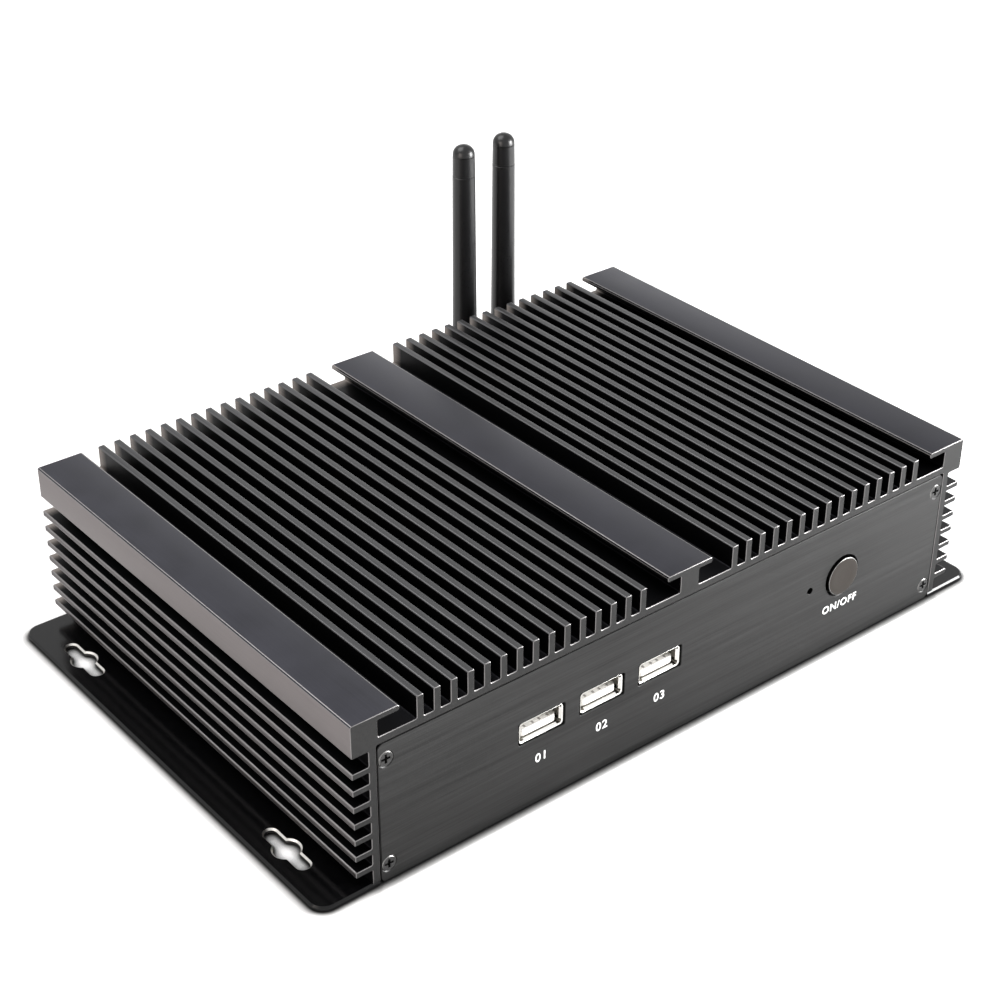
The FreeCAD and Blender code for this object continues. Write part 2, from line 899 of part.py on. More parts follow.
def heat_transfer_block():
    """A block from the processor to the roof, bolted to the board through four corner posts."""
    body = new_body("heat_transfer_block")
    reach = s.block_size / 2
    flat = sketch_on(body, "XY_Plane", Places.block_under)
    rectangle(flat, s.processor_x - reach, s.processor_x + reach,
              s.processor_y - reach, s.processor_y + reach, s.block_round)
    pad(body, flat, Places.block_top - Places.block_under)
    posts = sketch_on(body, "XY_Plane", Places.board_top)
    bores = sketch_on(body, "XY_Plane", Places.board_top)
    for x, y in block_post_places():
        circle(posts, x, y, s.block_post_width)
        circle(bores, x, y, s.base_screw_width + 2 * s.screw_play)
    pad(body, posts, Places.block_under - Places.board_top + s.die_height)
    pocket(body, bores, s.board_screw_length - s.board_thickness + s.die_height, back=True)
    return body


def thermal_pad():
    reach = s.block_size / 2
    return box("thermal_pad", (s.processor_x - reach, s.processor_x + reach),
               (s.processor_y - reach, s.processor_y + reach), (Places.block_top, Places.ceiling))


def memory_socket():
    """A slotted bar with two arms that reach along the module's short sides."""
    body = new_body("memory_socket")
    clear = s.memory_length / 2 + s.edge_play
    outer = clear + s.memory_arm_width
    left = s.memory_x
    bar = left + s.memory_socket_width
    tip = bar + s.memory_arm_reach
    flat = sketch_on(body, "XY_Plane", Places.board_top)
    outline(flat, [(left, s.memory_y - outer), (tip, s.memory_y - outer), (tip, s.memory_y - clear),
                   (bar, s.memory_y - clear), (bar, s.memory_y + clear), (tip, s.memory_y + clear),
                   (tip, s.memory_y + outer), (left, s.memory_y + outer)])
    pad(body, flat, s.memory_socket_height)
    low = Places.board_top + s.memory_lift - s.edge_play
    slot = sketch_on(body, "YZ_Plane", bar)
    rectangle(slot, s.memory_y - clear, s.memory_y + clear, low,
              low + s.memory_thickness + 2 * s.edge_play)
    pocket(body, slot, s.edge_insert + s.edge_play)
    return body


def chip_card(label, corner, extent, low, thickness, chips):
    """A thin board with square packages on its top, all one soldered assembly."""
    (x, y), (width, depth) = corner, extent
    parts = [box(f"{label}_board", (x, x + width), (y, y + depth), (low, low + thickness))]
    for index, (chip_x, chip_y, chip_width, chip_depth) in enumerate(chips):
        parts.append(box(f"{label}_chip_{index}", (x + chip_x, x + chip_x + chip_width),
                         (y + chip_y, y + chip_y + chip_depth),
                         (low + thickness, low + thickness + s.chip_height)))
    return fuse(label, parts)


def memory_module():
    count = 4
    step = s.memory_length / count
    chips = [(s.memory_depth * HALF, step * (index + HALF) - s.memory_chip_depth / 2,
              s.memory_chip_width, s.memory_chip_depth) for index in range(count)]
    x = s.memory_x + s.memory_socket_width - s.edge_insert
    return chip_card("memory_module", (x, s.memory_y - s.memory_length / 2),
                     (s.memory_depth, s.memory_length), Places.board_top + s.memory_lift,
                     s.memory_thickness, chips)


def card_socket(label, y):
    body = new_body(label)
    width = s.card_width
    section = sketch_on(body, "YZ_Plane", s.card_x)
    low, high = Places.board_top, Places.board_top + s.card_socket_height
    slot = low + s.card_lift - s.edge_play
    slot_top = slot + s.card_thickness + 2 * s.edge_play
    mouth = y + s.card_socket_depth
    slot_end = mouth - s.edge_insert - s.edge_play
    outline(section, [(y, low), (mouth, low), (mouth, slot), (slot_end, slot), (slot_end, slot_top),
                      (mouth, slot_top), (mouth, high), (y, high)])
    pad(body, section, width, both=True)
    return body


def card(label, y, length, chip_share):
    width = s.card_width
    chip = width * HALF
    chips = [(width / 4, length * chip_share, chip, chip)]
    start = y + s.card_socket_depth - s.edge_insert
    return chip_card(label, (s.card_x - width / 2, start), (width, length),
                     Places.board_top + s.card_lift, s.card_thickness, chips)


def clock_battery():
    """A coin cell soldered flat to the board."""
    body = new_body("clock_battery")
    turned = sketch_on(body, "XZ_Plane")
    radius, edge = s.battery_width / 2, s.battery_edge
    outline(turned, [(0, 0), (radius, 0), (radius, s.battery_height - edge),
                     (radius - edge, s.battery_height), (0, s.battery_height)])
    revolve(body, turned, "V_Axis")
    return place(body, s.processor_x + s.battery_shift, Places.battery_y, Places.board_top)


# Connectors. Each is drawn with its mouth at Y = 0, facing -Y, and its underside at Z = 0.


def seat_connector(body, x, rear, z=None):
    y = Places.port_face if rear else -Places.port_face
    turn = about_z(180) if rear else None
    return place(body, x, y, Places.solder if z is None else z, turn)


def port_shell(label, x, rear=False, tiers=1):
    """A folded steel shell with one or two mouths."""
    body = new_body(label)
    width, wall = s.port_width, s.port_wall
    height = s.port_height if tiers == 1 else s.stack_height
    flat = sketch_on(body, "XZ_Plane")
    rectangle(flat, -width / 2, width / 2, size(0), height, s.port_round)
    pad(body, flat, s.port_depth, back=True)
    mouths = sketch_on(body, "XZ_Plane")
    for tier in range(tiers):
        low = wall + tier * (height - s.port_height)
        rectangle(mouths, wall - width / 2, width / 2 - wall, low, low + s.port_height - 2 * wall,
                  s.cutout_round)
    pocket(body, mouths, s.port_depth - wall)
    return seat_connector(body, x, rear)


def port_tongue(label, x, rear=False):
    """The insulator at the back of a shell with the tongue that carries its contacts."""
    body = new_body(label)
    clear = s.port_wall + s.solder_gap
    side = s.port_width / 2 - clear
    back = s.port_depth - clear
    seat = sketch_on(body, "XZ_Plane", -(back - s.insulator_depth))
    rectangle(seat, -side, side, clear, s.port_height - clear, s.cutout_round)
    pad(body, seat, s.insulator_depth, back=True)
    tongue = sketch_on(body, "XZ_Plane", -s.tongue_setback)
    low = clear + s.tongue_rise
    rectangle(tongue, -s.tongue_width / 2, s.tongue_width / 2, low, low + s.tongue_thickness)
    pad(body, tongue, back - s.tongue_setback - s.insulator_depth * HALF, back=True)
    return seat_connector(body, x, rear)


def stack_tongues(label, x):
    """Both insulators of a stacked pair, as one node with two solids."""
    lower = port_tongue(f"{label}_lower", x, rear=True)
    upper = port_tongue(f"{label}_upper", x, rear=True)
    seat_connector(upper, x, True, Places.solder + s.stack_height - s.port_height)
    whole = doc.addObject("Part::Compound", label)
    whole.Label = label
    whole.Links = [lower, upper]
    return whole


def network_jack(label, x):
    """A shielded jack with a stepped mouth for the plug and its latch."""
    body = new_body(label)
    flat = sketch_on(body, "XZ_Plane")
    rectangle(flat, -s.network_width / 2, s.network_width / 2, size(0), s.network_height)
    pad(body, flat, s.network_depth, back=True)
    half, latch = s.network_mouth_width / 2, s.network_latch_width / 2
    low = s.network_floor + s.network_latch_height
    mouth = sketch_on(body, "XZ_Plane")
    outline(mouth, [(-latch, s.network_floor), (latch, s.network_floor), (latch, low), (half, low),
                    (half, low + s.network_mouth_height), (-half, low + s.network_mouth_height),
                    (-half, low), (-latch, low)])
    pocket(body, mouth, s.network_mouth_depth)
    return seat_connector(body, x, True)


def video_section(flat, inset):
    """The video port's outline: wide above, with both lower corners cut off."""
    half, height, taper = s.video_width / 2 - inset, s.video_height, s.video_taper
    outline(flat, [(-half + taper, inset), (half - taper, inset), (half, inset + taper),
                   (half, height - inset), (-half, height - inset), (-half, inset + taper)])


def video_port_shell():
    body = new_body("video_port_shell")
    flat = sketch_on(body, "XZ_Plane")
    video_section(flat, size(0))
    pad(body, flat, s.video_depth, back=True)
    mouth = sketch_on(body, "XZ_Plane")
    video_section(mouth, s.port_wall)
    pocket(body, mouth, s.video_depth - s.port_wall)
    return seat_connector(body, s.video_x, True)


def video_port_tongue():
    body = new_body("video_port_tongue")
    clear = s.port_wall + s.solder_gap
    back = s.video_depth - clear
    seat = sketch_on(body, "XZ_Plane", -(back - s.insulator_depth))
    video_section(seat, clear)
    pad(body, seat, s.insulator_depth, back=True)
    tongue = sketch_on(body, "XZ_Plane", -s.tongue_setback)
    middle = s.video_height * HALF
    half, thick = s.video_tongue_width / 2, s.video_tongue_thickness / 2
    rectangle(tongue, -half, half, middle - thick, middle + thick)
    pad(body, tongue, back - s.tongue_setback - s.insulator_depth * HALF, back=True)
    return seat_connector(body, s.video_x, True)


def audio_jack(label, x):
    body = new_body(label)
    middle = s.audio_height / 2
    collar = sketch_on(body, "XZ_Plane")
    circle(collar, 0, middle, s.audio_collar_width)
    front = Places.port_face - Places.board_end
    pad(body, collar, front, back=True)
    flat = sketch_on(body, "XZ_Plane", -front)
    rectangle(flat, -s.audio_width / 2, s.audio_width / 2, size(0), s.audio_height)
    pad(body, flat, s.audio_depth - front, back=True)
    bore = sketch_on(body, "XZ_Plane")
    circle(bore, 0, middle, s.audio_bore_width)
    pocket(body, bore, s.audio_bore_depth)
    return seat_connector(body, x, True)


def dc_inlet():
    body = new_body("dc_inlet")
    front = Places.port_face - Places.board_end
    flat = sketch_on(body, "XZ_Plane", -front)
    rectangle(flat, -s.inlet_width / 2, s.inlet_width / 2, size(0), s.inlet_height)
    pad(body, flat, s.inlet_depth - front, back=True)
    bore = sketch_on(body, "XZ_Plane", -front)
    circle(bore, 0, s.inlet_axis, s.inlet_bore_width)
    pocket(body, bore, s.inlet_bore_depth - front)
    return seat_connector(body, s.inlet_x, True)


def dc_inlet_pin():
    body = new_body("dc_inlet_pin")
    front = Places.port_face - Places.board_end
    flat = sketch_on(body, "XZ_Plane", -front)
    circle(flat, 0, s.inlet_axis, s.inlet_pin_width)
    pad(body, flat, s.inlet_bore_depth - front, back=True)
    return seat_connector(body, s.inlet_x, True)


# Power button, its switch and the indicator, on a small board behind the front panel


def power_button():
    """A turned cap with a rounded edge and a flange that keeps it behind the panel."""
    body = new_body("power_button")
    radius = s.button_width / 2
    face = -s.button_proud
    rim = s.panel_thickness + s.button_flange_gap
    back = Places.end - Places.button_back
    section = sketch_on(body, "YZ_Plane")
    outline(section, [(face, 0), (back, 0), (back, s.button_flange_width / 2),
                      (rim, s.button_flange_width / 2), (rim, radius), (face, radius, s.button_edge)])
    revolve(body, section, "H_Axis")
    return place(body, s.button_x, -Places.end, s.button_z)


def switch_plunger():
    body = new_body("switch_plunger")
    flat = sketch_on(body, "XZ_Plane")
    circle(flat, 0, 0, s.plunger_width)
    pad(body, flat, s.plunger_length, back=True)
    return place(body, s.button_x, -Places.button_back, s.button_z)


def power_switch():
    body = new_body("power_switch")
    flat = sketch_on(body, "XZ_Plane", Places.switch_board_face + s.switch_height)
    reach = s.switch_size / 2
    rectangle(flat, s.button_x - reach, s.button_x + reach, s.button_z - reach, s.button_z + reach)
    circle(flat, s.button_x, s.button_z, s.plunger_width + 2 * s.plunger_play)
    pad(body, flat, s.switch_height, back=True)
    return body


def post_places():
    z = s.button_z + s.post_rise
    reach = s.post_spacing / 2
    return [(s.switch_board_x + side * reach, z) for side in SIDES]


def switch_board():
    body = new_body("switch_board")
    flat = sketch_on(body, "XZ_Plane", Places.switch_board_face)
    half, tall = s.switch_board_width / 2, s.switch_board_height / 2
    rectangle(flat, s.switch_board_x - half, s.switch_board_x + half, s.button_z - tall, s.button_z + tall)
    for x, z in post_places():
        circle(flat, x, z, s.small_screw_width + 2 * s.screw_play)
    pad(body, flat, s.switch_board_thickness, back=True)
    return body


def switch_board_posts():
    body = new_body("switch_board_post")
    flat = sketch_on(body, "XZ_Plane")
    circle(flat, 0, 0, s.post_width)
    circle(flat, 0, 0, s.small_screw_width + 2 * s.screw_play)
    pad(body, flat, s.switch_board_setback, back=True)
    return group("switch_board_posts", body,
                 [(x, -Places.panel_back, z, about_x(0)) for x, z in post_places()])


def switch_board_screws():
    master = screw("switch_board_screw", s.small_head_width, s.small_screw_width,
                   s.small_screw_length, s.small_head_height)
    y = s.small_head_height - Places.switch_board_back
    return group("switch_board_screws", master, [(x, y, z, about_x(-90)) for x, z in post_places()])


def indicator_led():
    """A round lamp with a domed lens behind the pin hole, on two legs."""
    body = new_body("indicator_led")
    radius = s.indicator_width / 2
    length = s.indicator_length
    section = sketch_on(body, "YZ_Plane")
    outline(section, [(0, 0), (length, 0), (length, radius + s.indicator_leg),
                      (length - s.indicator_leg * 2, radius + s.indicator_leg),
                      (length - s.indicator_leg * 2, radius), (0, radius, radius - s.solder_gap)])
    revolve(body, section, "H_Axis")
    legs = sketch_on(body, "XZ_Plane", -length)
    for side in SIDES:
        rectangle(legs, side * radius * HALF, side * (radius * HALF + s.indicator_leg),
                  -s.indicator_leg / 2, s.indicator_leg / 2)
    reach = s.switch_board_setback - s.indicator_gap - length
    pad(body, legs, reach, back=True)
    return place(body, s.indicator_x, s.indicator_gap - Places.panel_back, s.button_z)


# Antennas. Each piece is turned about the socket's axis, along Y, from the rear panel out.


def antenna_socket(label, x):
    """A bulkhead socket: hexagon flange inside, threaded barrel outside, tail for the lead."""
    body = new_body(label)
    radius = s.socket_width / 2
    barrel = s.panel_thickness + s.socket_reach
    section = sketch_on(body, "YZ_Plane")
    bore = s.socket_bore_width / 2
    outline(section, [(-s.socket_flange - s.socket_tail_length, 0), (barrel - s.socket_bore_depth, 0),
                      (barrel - s.socket_bore_depth, bore), (barrel, bore), (barrel, radius),
                      (-s.socket_flange, radius), (-s.socket_flange, s.socket_tail_width / 2),
                      (-s.socket_flange - s.socket_tail_length, s.socket_tail_width / 2)])
    revolve(body, section, "H_Axis")
    flange = sketch_on(body, "XZ_Plane")
    hexagon(flange, size(0), size(0), s.socket_hex)
    pad(body, flange, s.socket_flange)
    return place(body, x, Places.panel_back, s.antenna_z)


def antenna_socket_nuts():
    body = new_body("antenna_socket_nut")
    flat = sketch_on(body, "XZ_Plane")
    hexagon(flat, size(0), size(0), s.socket_hex)
    circle(flat, 0, 0, s.socket_width + 2 * s.screw_play)
    pad(body, flat, s.nut_thickness, back=True)
    places = pair_places(s.antenna_x, s.antenna_pitch)
    return group("antenna_socket_nuts", body, [(x, Places.end, s.antenna_z, about_x(0)) for x in places])


def antenna_coupling(label, x):
    """The sleeve that screws over the socket and holds the elbow's spigot."""
    body = new_body(label)
    length, outer = s.coupling_length, s.coupling_width / 2
    wide = s.socket_width / 2 + s.screw_play
    narrow = s.spigot_width / 2 + s.swivel_play
    step = length - s.coupling_collar
    edge = s.antenna_edge
    section = sketch_on(body, "YZ_Plane")
    outline(section, [(0, wide), (step, wide), (step, narrow), (length, narrow), (length, outer - edge),
                      (length - edge, outer), (edge, outer), (0, outer - edge)])
    revolve(body, section, "H_Axis")
    return place(body, x, Places.coupling_start, s.antenna_z)


def antenna_elbow(label, x):
    """A round spigot and disc with a two-cheek fork for the whip's foot."""
    body = new_body(label)
    disc = s.elbow_length
    pivot = Places.pivot - Places.elbow_start
    section = sketch_on(body, "YZ_Plane")
    spigot = s.spigot_width / 2
    edge = s.antenna_edge
    tail = s.swivel_gap + s.coupling_collar
    outer = s.elbow_width / 2
    outline(section, [(-tail, 0), (disc, 0), (disc, outer - edge), (disc - edge, outer), (edge, outer),
                      (0, outer - edge), (0, spigot), (-tail, spigot)])
    revolve(body, section, "H_Axis")
    fork = sketch_on(body, "YZ_Plane")
    tall = s.fork_height / 2
    reach = pivot + tall
    rounding = tall - edge / 2
    outline(fork, [(disc * HALF, -tall), (reach, -tall, rounding), (reach, tall, rounding),
                   (disc * HALF, tall)])
    pad(body, fork, s.fork_width, both=True)
    gap = sketch_on(body, "XZ_Plane", -disc)
    half = s.whip_foot_thickness / 2 + s.hinge_side_gap
    rectangle(gap, -half, half, -s.elbow_width, s.elbow_width)
    pocket(body, gap, reach)
    bore = sketch_on(body, "YZ_Plane")
    circle(bore, pivot, 0, s.hinge_pin_width)
    pocket(body, bore)
    return place(body, x, Places.elbow_start, s.antenna_z)


def antenna_whip(label, x):
    """A slightly tapered rod with a domed tip, a ring near the tip and a flat foot."""
    body = new_body(label)
    start = s.whip_collar_start
    collar = s.whip_collar_width / 2
    low = start + s.whip_collar_length
    bottom, tip = s.whip_bottom_width / 2, s.whip_tip_width / 2
    shoulder = s.whip_length - s.whip_dome
    ring = shoulder - s.whip_ring_drop
    ring_low = ring - s.whip_ring_width

    def edge_at(height):
        return bottom + (tip - bottom) * ((height - low) / (shoulder - low))

    section = sketch_on(body, "XZ_Plane")
    edge = s.antenna_edge
    dome_angles = (30, 55, 75)
    dome = [(tip * math.cos(math.radians(angle)), shoulder + s.whip_dome * math.sin(math.radians(angle)))
            for angle in dome_angles]
    outline(section, [(0, start), (collar - edge, start), (collar, start + edge),
                      (collar, low - edge), (bottom, low), (edge_at(ring_low), ring_low),
                      (edge_at(ring_low) - s.whip_ring_depth, ring_low),
                      (edge_at(ring) - s.whip_ring_depth, ring), (edge_at(ring), ring),
                      (tip, shoulder), *dome, (0, s.whip_length)])
    revolve(body, section, "V_Axis")
    foot = sketch_on(body, "YZ_Plane")
    half = s.whip_foot_width / 2
    rounding = half - s.screw_play
    outline(foot, [(-half, -half, rounding), (half, -half, rounding),
                   (half, start + edge), (-half, start + edge)])
    pad(body, foot, s.whip_foot_thickness, both=True)
    bore = sketch_on(body, "YZ_Plane")
    circle(bore, 0, 0, s.hinge_pin_width + 2 * s.hinge_play)
    pocket(body, bore)
    return place(body, x, Places.pivot, s.antenna_z)


def antenna_pin(label, x):
    body = new_body(label)
    flat = sketch_on(body, "YZ_Plane")
    circle(flat, 0, 0, s.hinge_pin_width)
    pad(body, flat, s.fork_width, both=True)
    return place(body, x, Places.pivot, s.antenna_z)


# Leads inside the case: round tubes along straight runs joined by tangent arcs


def bend_radius(before, corner, after):
    runs = [before.sub(corner), after.sub(corner)]
    turn = math.pi - runs[0].getAngle(runs[1])
    share = 0.45
    return share * min(run.Length for run in runs) / math.tan(turn / 2)


def lead_path(points):
    edges = []
    start = points[0]
    for before, corner, after in zip(points, points[1:], points[2:]):
        back, ahead = before.sub(corner).normalize(), after.sub(corner).normalize()
        radius = bend_radius(before, corner, after)
        opening = back.getAngle(ahead) / 2
        reach = radius / math.tan(opening)
        middle = back.add(ahead).normalize()
        bulge = corner.add(middle * (radius / math.sin(opening) - radius))
        first, last = corner.add(back * reach), corner.add(ahead * reach)
        edges.append(Part.LineSegment(start, first).toShape())
        edges.append(Part.Arc(first, bulge, last).toShape())
        print("lead bend radius", round(radius, 2))
        start = last
    edges.append(Part.LineSegment(start, points[-1]).toShape())
    return Part.Wire(edges)


def lead(label, points, width):
    """A lead whose places are read from the sheet, as a round section along its path."""
    points = [FreeCAD.Vector(*[size(value).number for value in point]) for point in points]
    path = lead_path(points)
    radius = width.number / 2
    section = Part.Wire(Part.Circle(points[0], points[1].sub(points[0]), radius).toShape())
    tube = path.makePipeShell([section], True, False)
    expected = math.pi * radius ** 2 * path.Length
    allowed = 0.01
    if abs(tube.Volume - expected) > expected * allowed:
        raise RuntimeError(f"{label} has the wrong volume")
    part = doc.addObject("Part::Feature", label)
    part.Label = label
    part.Shape = tube
    return part


def antenna_lead(label, x, card_x, lane):
    """From the socket's tail, over the board's edge, down onto the wireless card."""
    radius = s.lead_width / 2
    start = Places.panel_back - s.socket_flange - s.socket_tail_length
    card_top = Places.board_top + s.card_lift + s.card_thickness
    edge = Places.board_right
    rise = card_top + radius + s.solder_gap
    landing = Places.wireless_card_end - 5 - lane
    points = [
        (x, start, s.antenna_z),
        (x, start - 8, s.antenna_z),
        (x - 3, start - 15 - lane, s.antenna_z + 6),
        (edge + 5, start - 19 - lane, rise + 2),
        (edge - 3, landing, rise + 1.5),
        (card_x + 4, landing, rise),
        (card_x, landing, rise),
    ]
    return lead(label, points, s.lead_width)


def switch_lead():
    """From the switch board's back to the mainboard's edge."""
    radius = s.switch_lead_width / 2
    back = -Places.switch_board_back
    x = s.switch_board_x - s.switch_board_width / 4
    low = s.button_z - s.switch_board_height / 4
    rise = Places.board_top + radius + s.solder_gap
    edge = Places.board_right
    points = [
        (x, back, low),
        (x, back + 9, low),
        (x - 4, back + 17, rise + 2.5),
        (edge + 2, back + 20, rise + 2),
        (edge - 1, back + 20, rise),
    ]
    return lead("switch_lead", points, s.switch_lead_width)


def build_all():
    parts = [
        heatsink_housing(),
        end_panel("front_panel", False, front_cut_outs),
        end_panel("rear_panel", True, rear_cut_outs),
        base_plate(),
        panel_screws(),
        base_screws(),
        mainboard(),
        board_standoffs(),
        mainboard_screws(),
        processor(),
        heat_transfer_block(),
        block_screws(),
        thermal_pad(),
        memory_socket(),
        memory_module(),
        card_socket("storage_card_socket", s.storage_card_y),
        card("storage_card", s.storage_card_y, s.storage_card_length, s.storage_chip_share),
        card_socket("wireless_card_socket", Places.wireless_card_y),
        card("wireless_card", Places.wireless_card_y, s.wireless_card_length, s.wireless_chip_share),
        clock_battery(),
        switch_board(),
        switch_board_posts(),
        switch_board_screws(),
        power_switch(),
        switch_plunger(),
        power_button(),
        indicator_led(),
        dc_inlet(),
        dc_inlet_pin(),
        video_port_shell(),
        video_port_tongue(),
        antenna_socket_nuts(),
        switch_lead(),
    ]
    for number, x in enumerate(port_places(), start=1):
        parts.append(port_shell(f"front_port_shell_{number}", x))
        parts.append(port_tongue(f"front_port_tongue_{number}", x))
    rows = zip(pair_places(s.stack_first, -s.stack_pitch), pair_places(s.network_first, -s.network_pitch),
               pair_places(s.audio_first, s.audio_pitch), pair_places(s.antenna_x, s.antenna_pitch))
    for number, (stack_x, network_x, audio_x, antenna_x) in enumerate(rows, start=1):
        parts.append(port_shell(f"rear_port_shell_{number}", stack_x, rear=True, tiers=2))
        parts.append(stack_tongues(f"rear_port_tongue_{number}", stack_x))
        parts.append(network_jack(f"network_jack_{number}", network_x))
        parts.append(audio_jack(f"audio_jack_{number}", audio_x))
        parts.append(antenna_socket(f"antenna_socket_{number}", antenna_x))
        parts.append(antenna_coupling(f"antenna_coupling_{number}", antenna_x))
        parts.append(antenna_elbow(f"antenna_elbow_{number}", antenna_x))
        parts.append(antenna_whip(f"antenna_whip_{number}", antenna_x))
        parts.append(antenna_pin(f"antenna_pin_{number}", antenna_x))
        landing_x = s.card_x + (number - 1) * s.card_width / 4
        lane = (number - 1) * s.lead_spacing
        parts.append(antenna_lead(f"antenna_lead_{number}", antenna_x, landing_x, lane))
    return parts


def check_all(parts):
    doc.recompute()
    for item in doc.Objects:
        if "Invalid" in item.State or "Error" in item.State:
            raise RuntimeError(f"{item.Label} failed: {item.State}")
    for part in parts:
        if part.Shape.isNull() or not part.Shape.isValid():
            raise RuntimeError(f"{part.Label} has no valid shape")


def write_all(parts):
    os.makedirs("parts", exist_ok=True)
    for part in parts:
        part.Shape.exportStep(f"parts/{part.Label}.step")
        print(part.Label, len(part.Shape.Solids), round(part.Shape.Volume, 1))


pieces = build_all()
check_all(pieces)
write_all(pieces)
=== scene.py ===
import logging
import math
from dataclasses import dataclass, field
from enum import Enum
from typing import Optional, Sequence, Union

import bpy
from mathutils import Matrix, Vector
from mathutils.geometry import tessellate_polygon


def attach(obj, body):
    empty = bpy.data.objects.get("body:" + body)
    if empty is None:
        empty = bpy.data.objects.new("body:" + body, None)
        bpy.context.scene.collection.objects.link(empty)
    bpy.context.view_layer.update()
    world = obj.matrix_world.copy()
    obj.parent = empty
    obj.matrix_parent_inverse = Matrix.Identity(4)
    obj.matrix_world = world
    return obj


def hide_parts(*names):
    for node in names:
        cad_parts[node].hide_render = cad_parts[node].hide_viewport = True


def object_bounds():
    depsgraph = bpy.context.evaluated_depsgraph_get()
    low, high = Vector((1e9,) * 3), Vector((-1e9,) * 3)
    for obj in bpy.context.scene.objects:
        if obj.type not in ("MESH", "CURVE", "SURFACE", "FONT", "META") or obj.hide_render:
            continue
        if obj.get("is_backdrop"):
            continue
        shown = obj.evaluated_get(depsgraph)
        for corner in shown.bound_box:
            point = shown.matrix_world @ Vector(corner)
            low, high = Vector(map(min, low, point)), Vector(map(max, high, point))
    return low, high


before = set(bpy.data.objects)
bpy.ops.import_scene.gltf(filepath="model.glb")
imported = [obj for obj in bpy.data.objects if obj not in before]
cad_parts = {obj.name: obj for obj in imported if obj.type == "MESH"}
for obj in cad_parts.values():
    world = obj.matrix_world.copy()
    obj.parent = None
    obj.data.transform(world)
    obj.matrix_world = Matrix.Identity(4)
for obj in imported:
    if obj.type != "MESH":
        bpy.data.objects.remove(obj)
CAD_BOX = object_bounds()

# Looks of a fanless mini computer. Sizes are in millimetres, in the same frame as the solids:
# X along the front plate, Y to the rear and Z up, from the middle of the base sheet's underside.

MM = 0.001
FULL_TURN = 2 * math.pi
# From this angle on an edge is drawn sharp, and on a carried-over node it is rounded.
SHARP_FROM = math.radians(34.0)
ROUNDED_FROM = math.radians(35.0)
Flat = tuple[float, float]
Spot = tuple[float, float, float]
Loop = list[Flat]
Tree = bpy.types.NodeTree
Socket = bpy.types.NodeSocket
log = logging.getLogger("mini_computer")


# Shapes


class Facing(Enum):
    """Which way an outline looks, as its own across and up directions."""

    FRONT = ((1, 0, 0), (0, 0, 1))
    REAR = ((-1, 0, 0), (0, 0, 1))
    UP = ((1, 0, 0), (0, 1, 0))
    DOWN = ((1, 0, 0), (0, -1, 0))
    LEFT = ((0, -1, 0), (0, 0, 1))
    RIGHT = ((0, 1, 0), (0, 0, 1))

    def spot(self, origin: Spot, across: float, up: float, out: float) -> Vector:
        """A point given across, up and out of the outline's plane."""
        first, second = Vector(self.value[0]), Vector(self.value[1])
        return Vector(origin) + first * across + second * up + first.cross(second) * out


@dataclass(frozen=True)
class Hole:
    """A hole in a block. Without a depth it goes right through."""

    loop: Loop
    depth: Optional[float] = None
    flare: Optional[float] = None
    paint: int = 0
    edge_paint: Optional[int] = None


def arc(x: float, y: float, radius: float, start: float, stop: float, steps: int) -> Loop:
    """Points on an arc, with the angles in degrees."""
    angles = [math.radians(start + (stop - start) * step / steps) for step in range(steps + 1)]
    return [(x + radius * math.cos(angle), y + radius * math.sin(angle)) for angle in angles]


def circle(x: float, y: float, width: float, steps: int = 40) -> Loop:
    """A closed anticlockwise circle of the given width."""
    return arc(x, y, width / 2, 0, 360, steps)[:-1]


def rounded(corners: Sequence[Sequence[float]], steps: int = 4) -> Loop:
    """An outline whose corners are rounded where they have a radius.

    Args:
        corners: across, up and, for a rounded corner, its radius.
        steps: straight pieces in each rounding.

    Returns:
        The outline's points in the corners' order.
    """
    loop: Loop = []
    for index, corner in enumerate(corners):
        here = Vector(corner[:2])
        if len(corner) == 2 or corner[2] == 0:
            loop.append((here.x, here.y))
            continue
        back = (Vector(corners[index - 1][:2]) - here).normalized()
        ahead = (Vector(corners[(index + 1) % len(corners)][:2]) - here).normalized()
        half = back.angle(ahead) / 2
        reach = corner[2] / math.tan(half)
        centre = here + (back + ahead).normalized() * (corner[2] / math.sin(half))
        start, stop = here + back * reach - centre, here + ahead * reach - centre
        for step in range(steps + 1):
            spoke = start.lerp(stop, step / steps).normalized() * corner[2]
            loop.append((centre.x + spoke.x, centre.y + spoke.y))
    return loop


def rectangle(left: float, right: float, low: float, high: float, radius: float = 0.0) -> Loop:
    """An anticlockwise rectangle with rounded corners."""
    return rounded([(left, low, radius), (right, low, radius), (right, high, radius), (left, high, radius)])


def inset(loop: Loop, by: float) -> Loop:
    """An anticlockwise outline drawn in by a distance, or let out where it is negative."""
    if by == 0:
        return loop
    moved: Loop = []
    count = len(loop)
    for index in range(count):
        here = Vector(loop[index])
        into = (here - Vector(loop[index - 1])).normalized()
        away = (Vector(loop[(index + 1) % count]) - here).normalized()
        normal = Vector((-into.y - away.y, into.x + away.x)).normalized()
        lean = max(0.5, normal.dot(Vector((-into.y, into.x))))
        moved.append(tuple(here + normal * (by / lean)))
    return moved


def shifted(loop: Loop, across: float, up: float) -> Loop:
    """An outline moved within its plane."""
    return [(x + across, y + up) for x, y in loop]


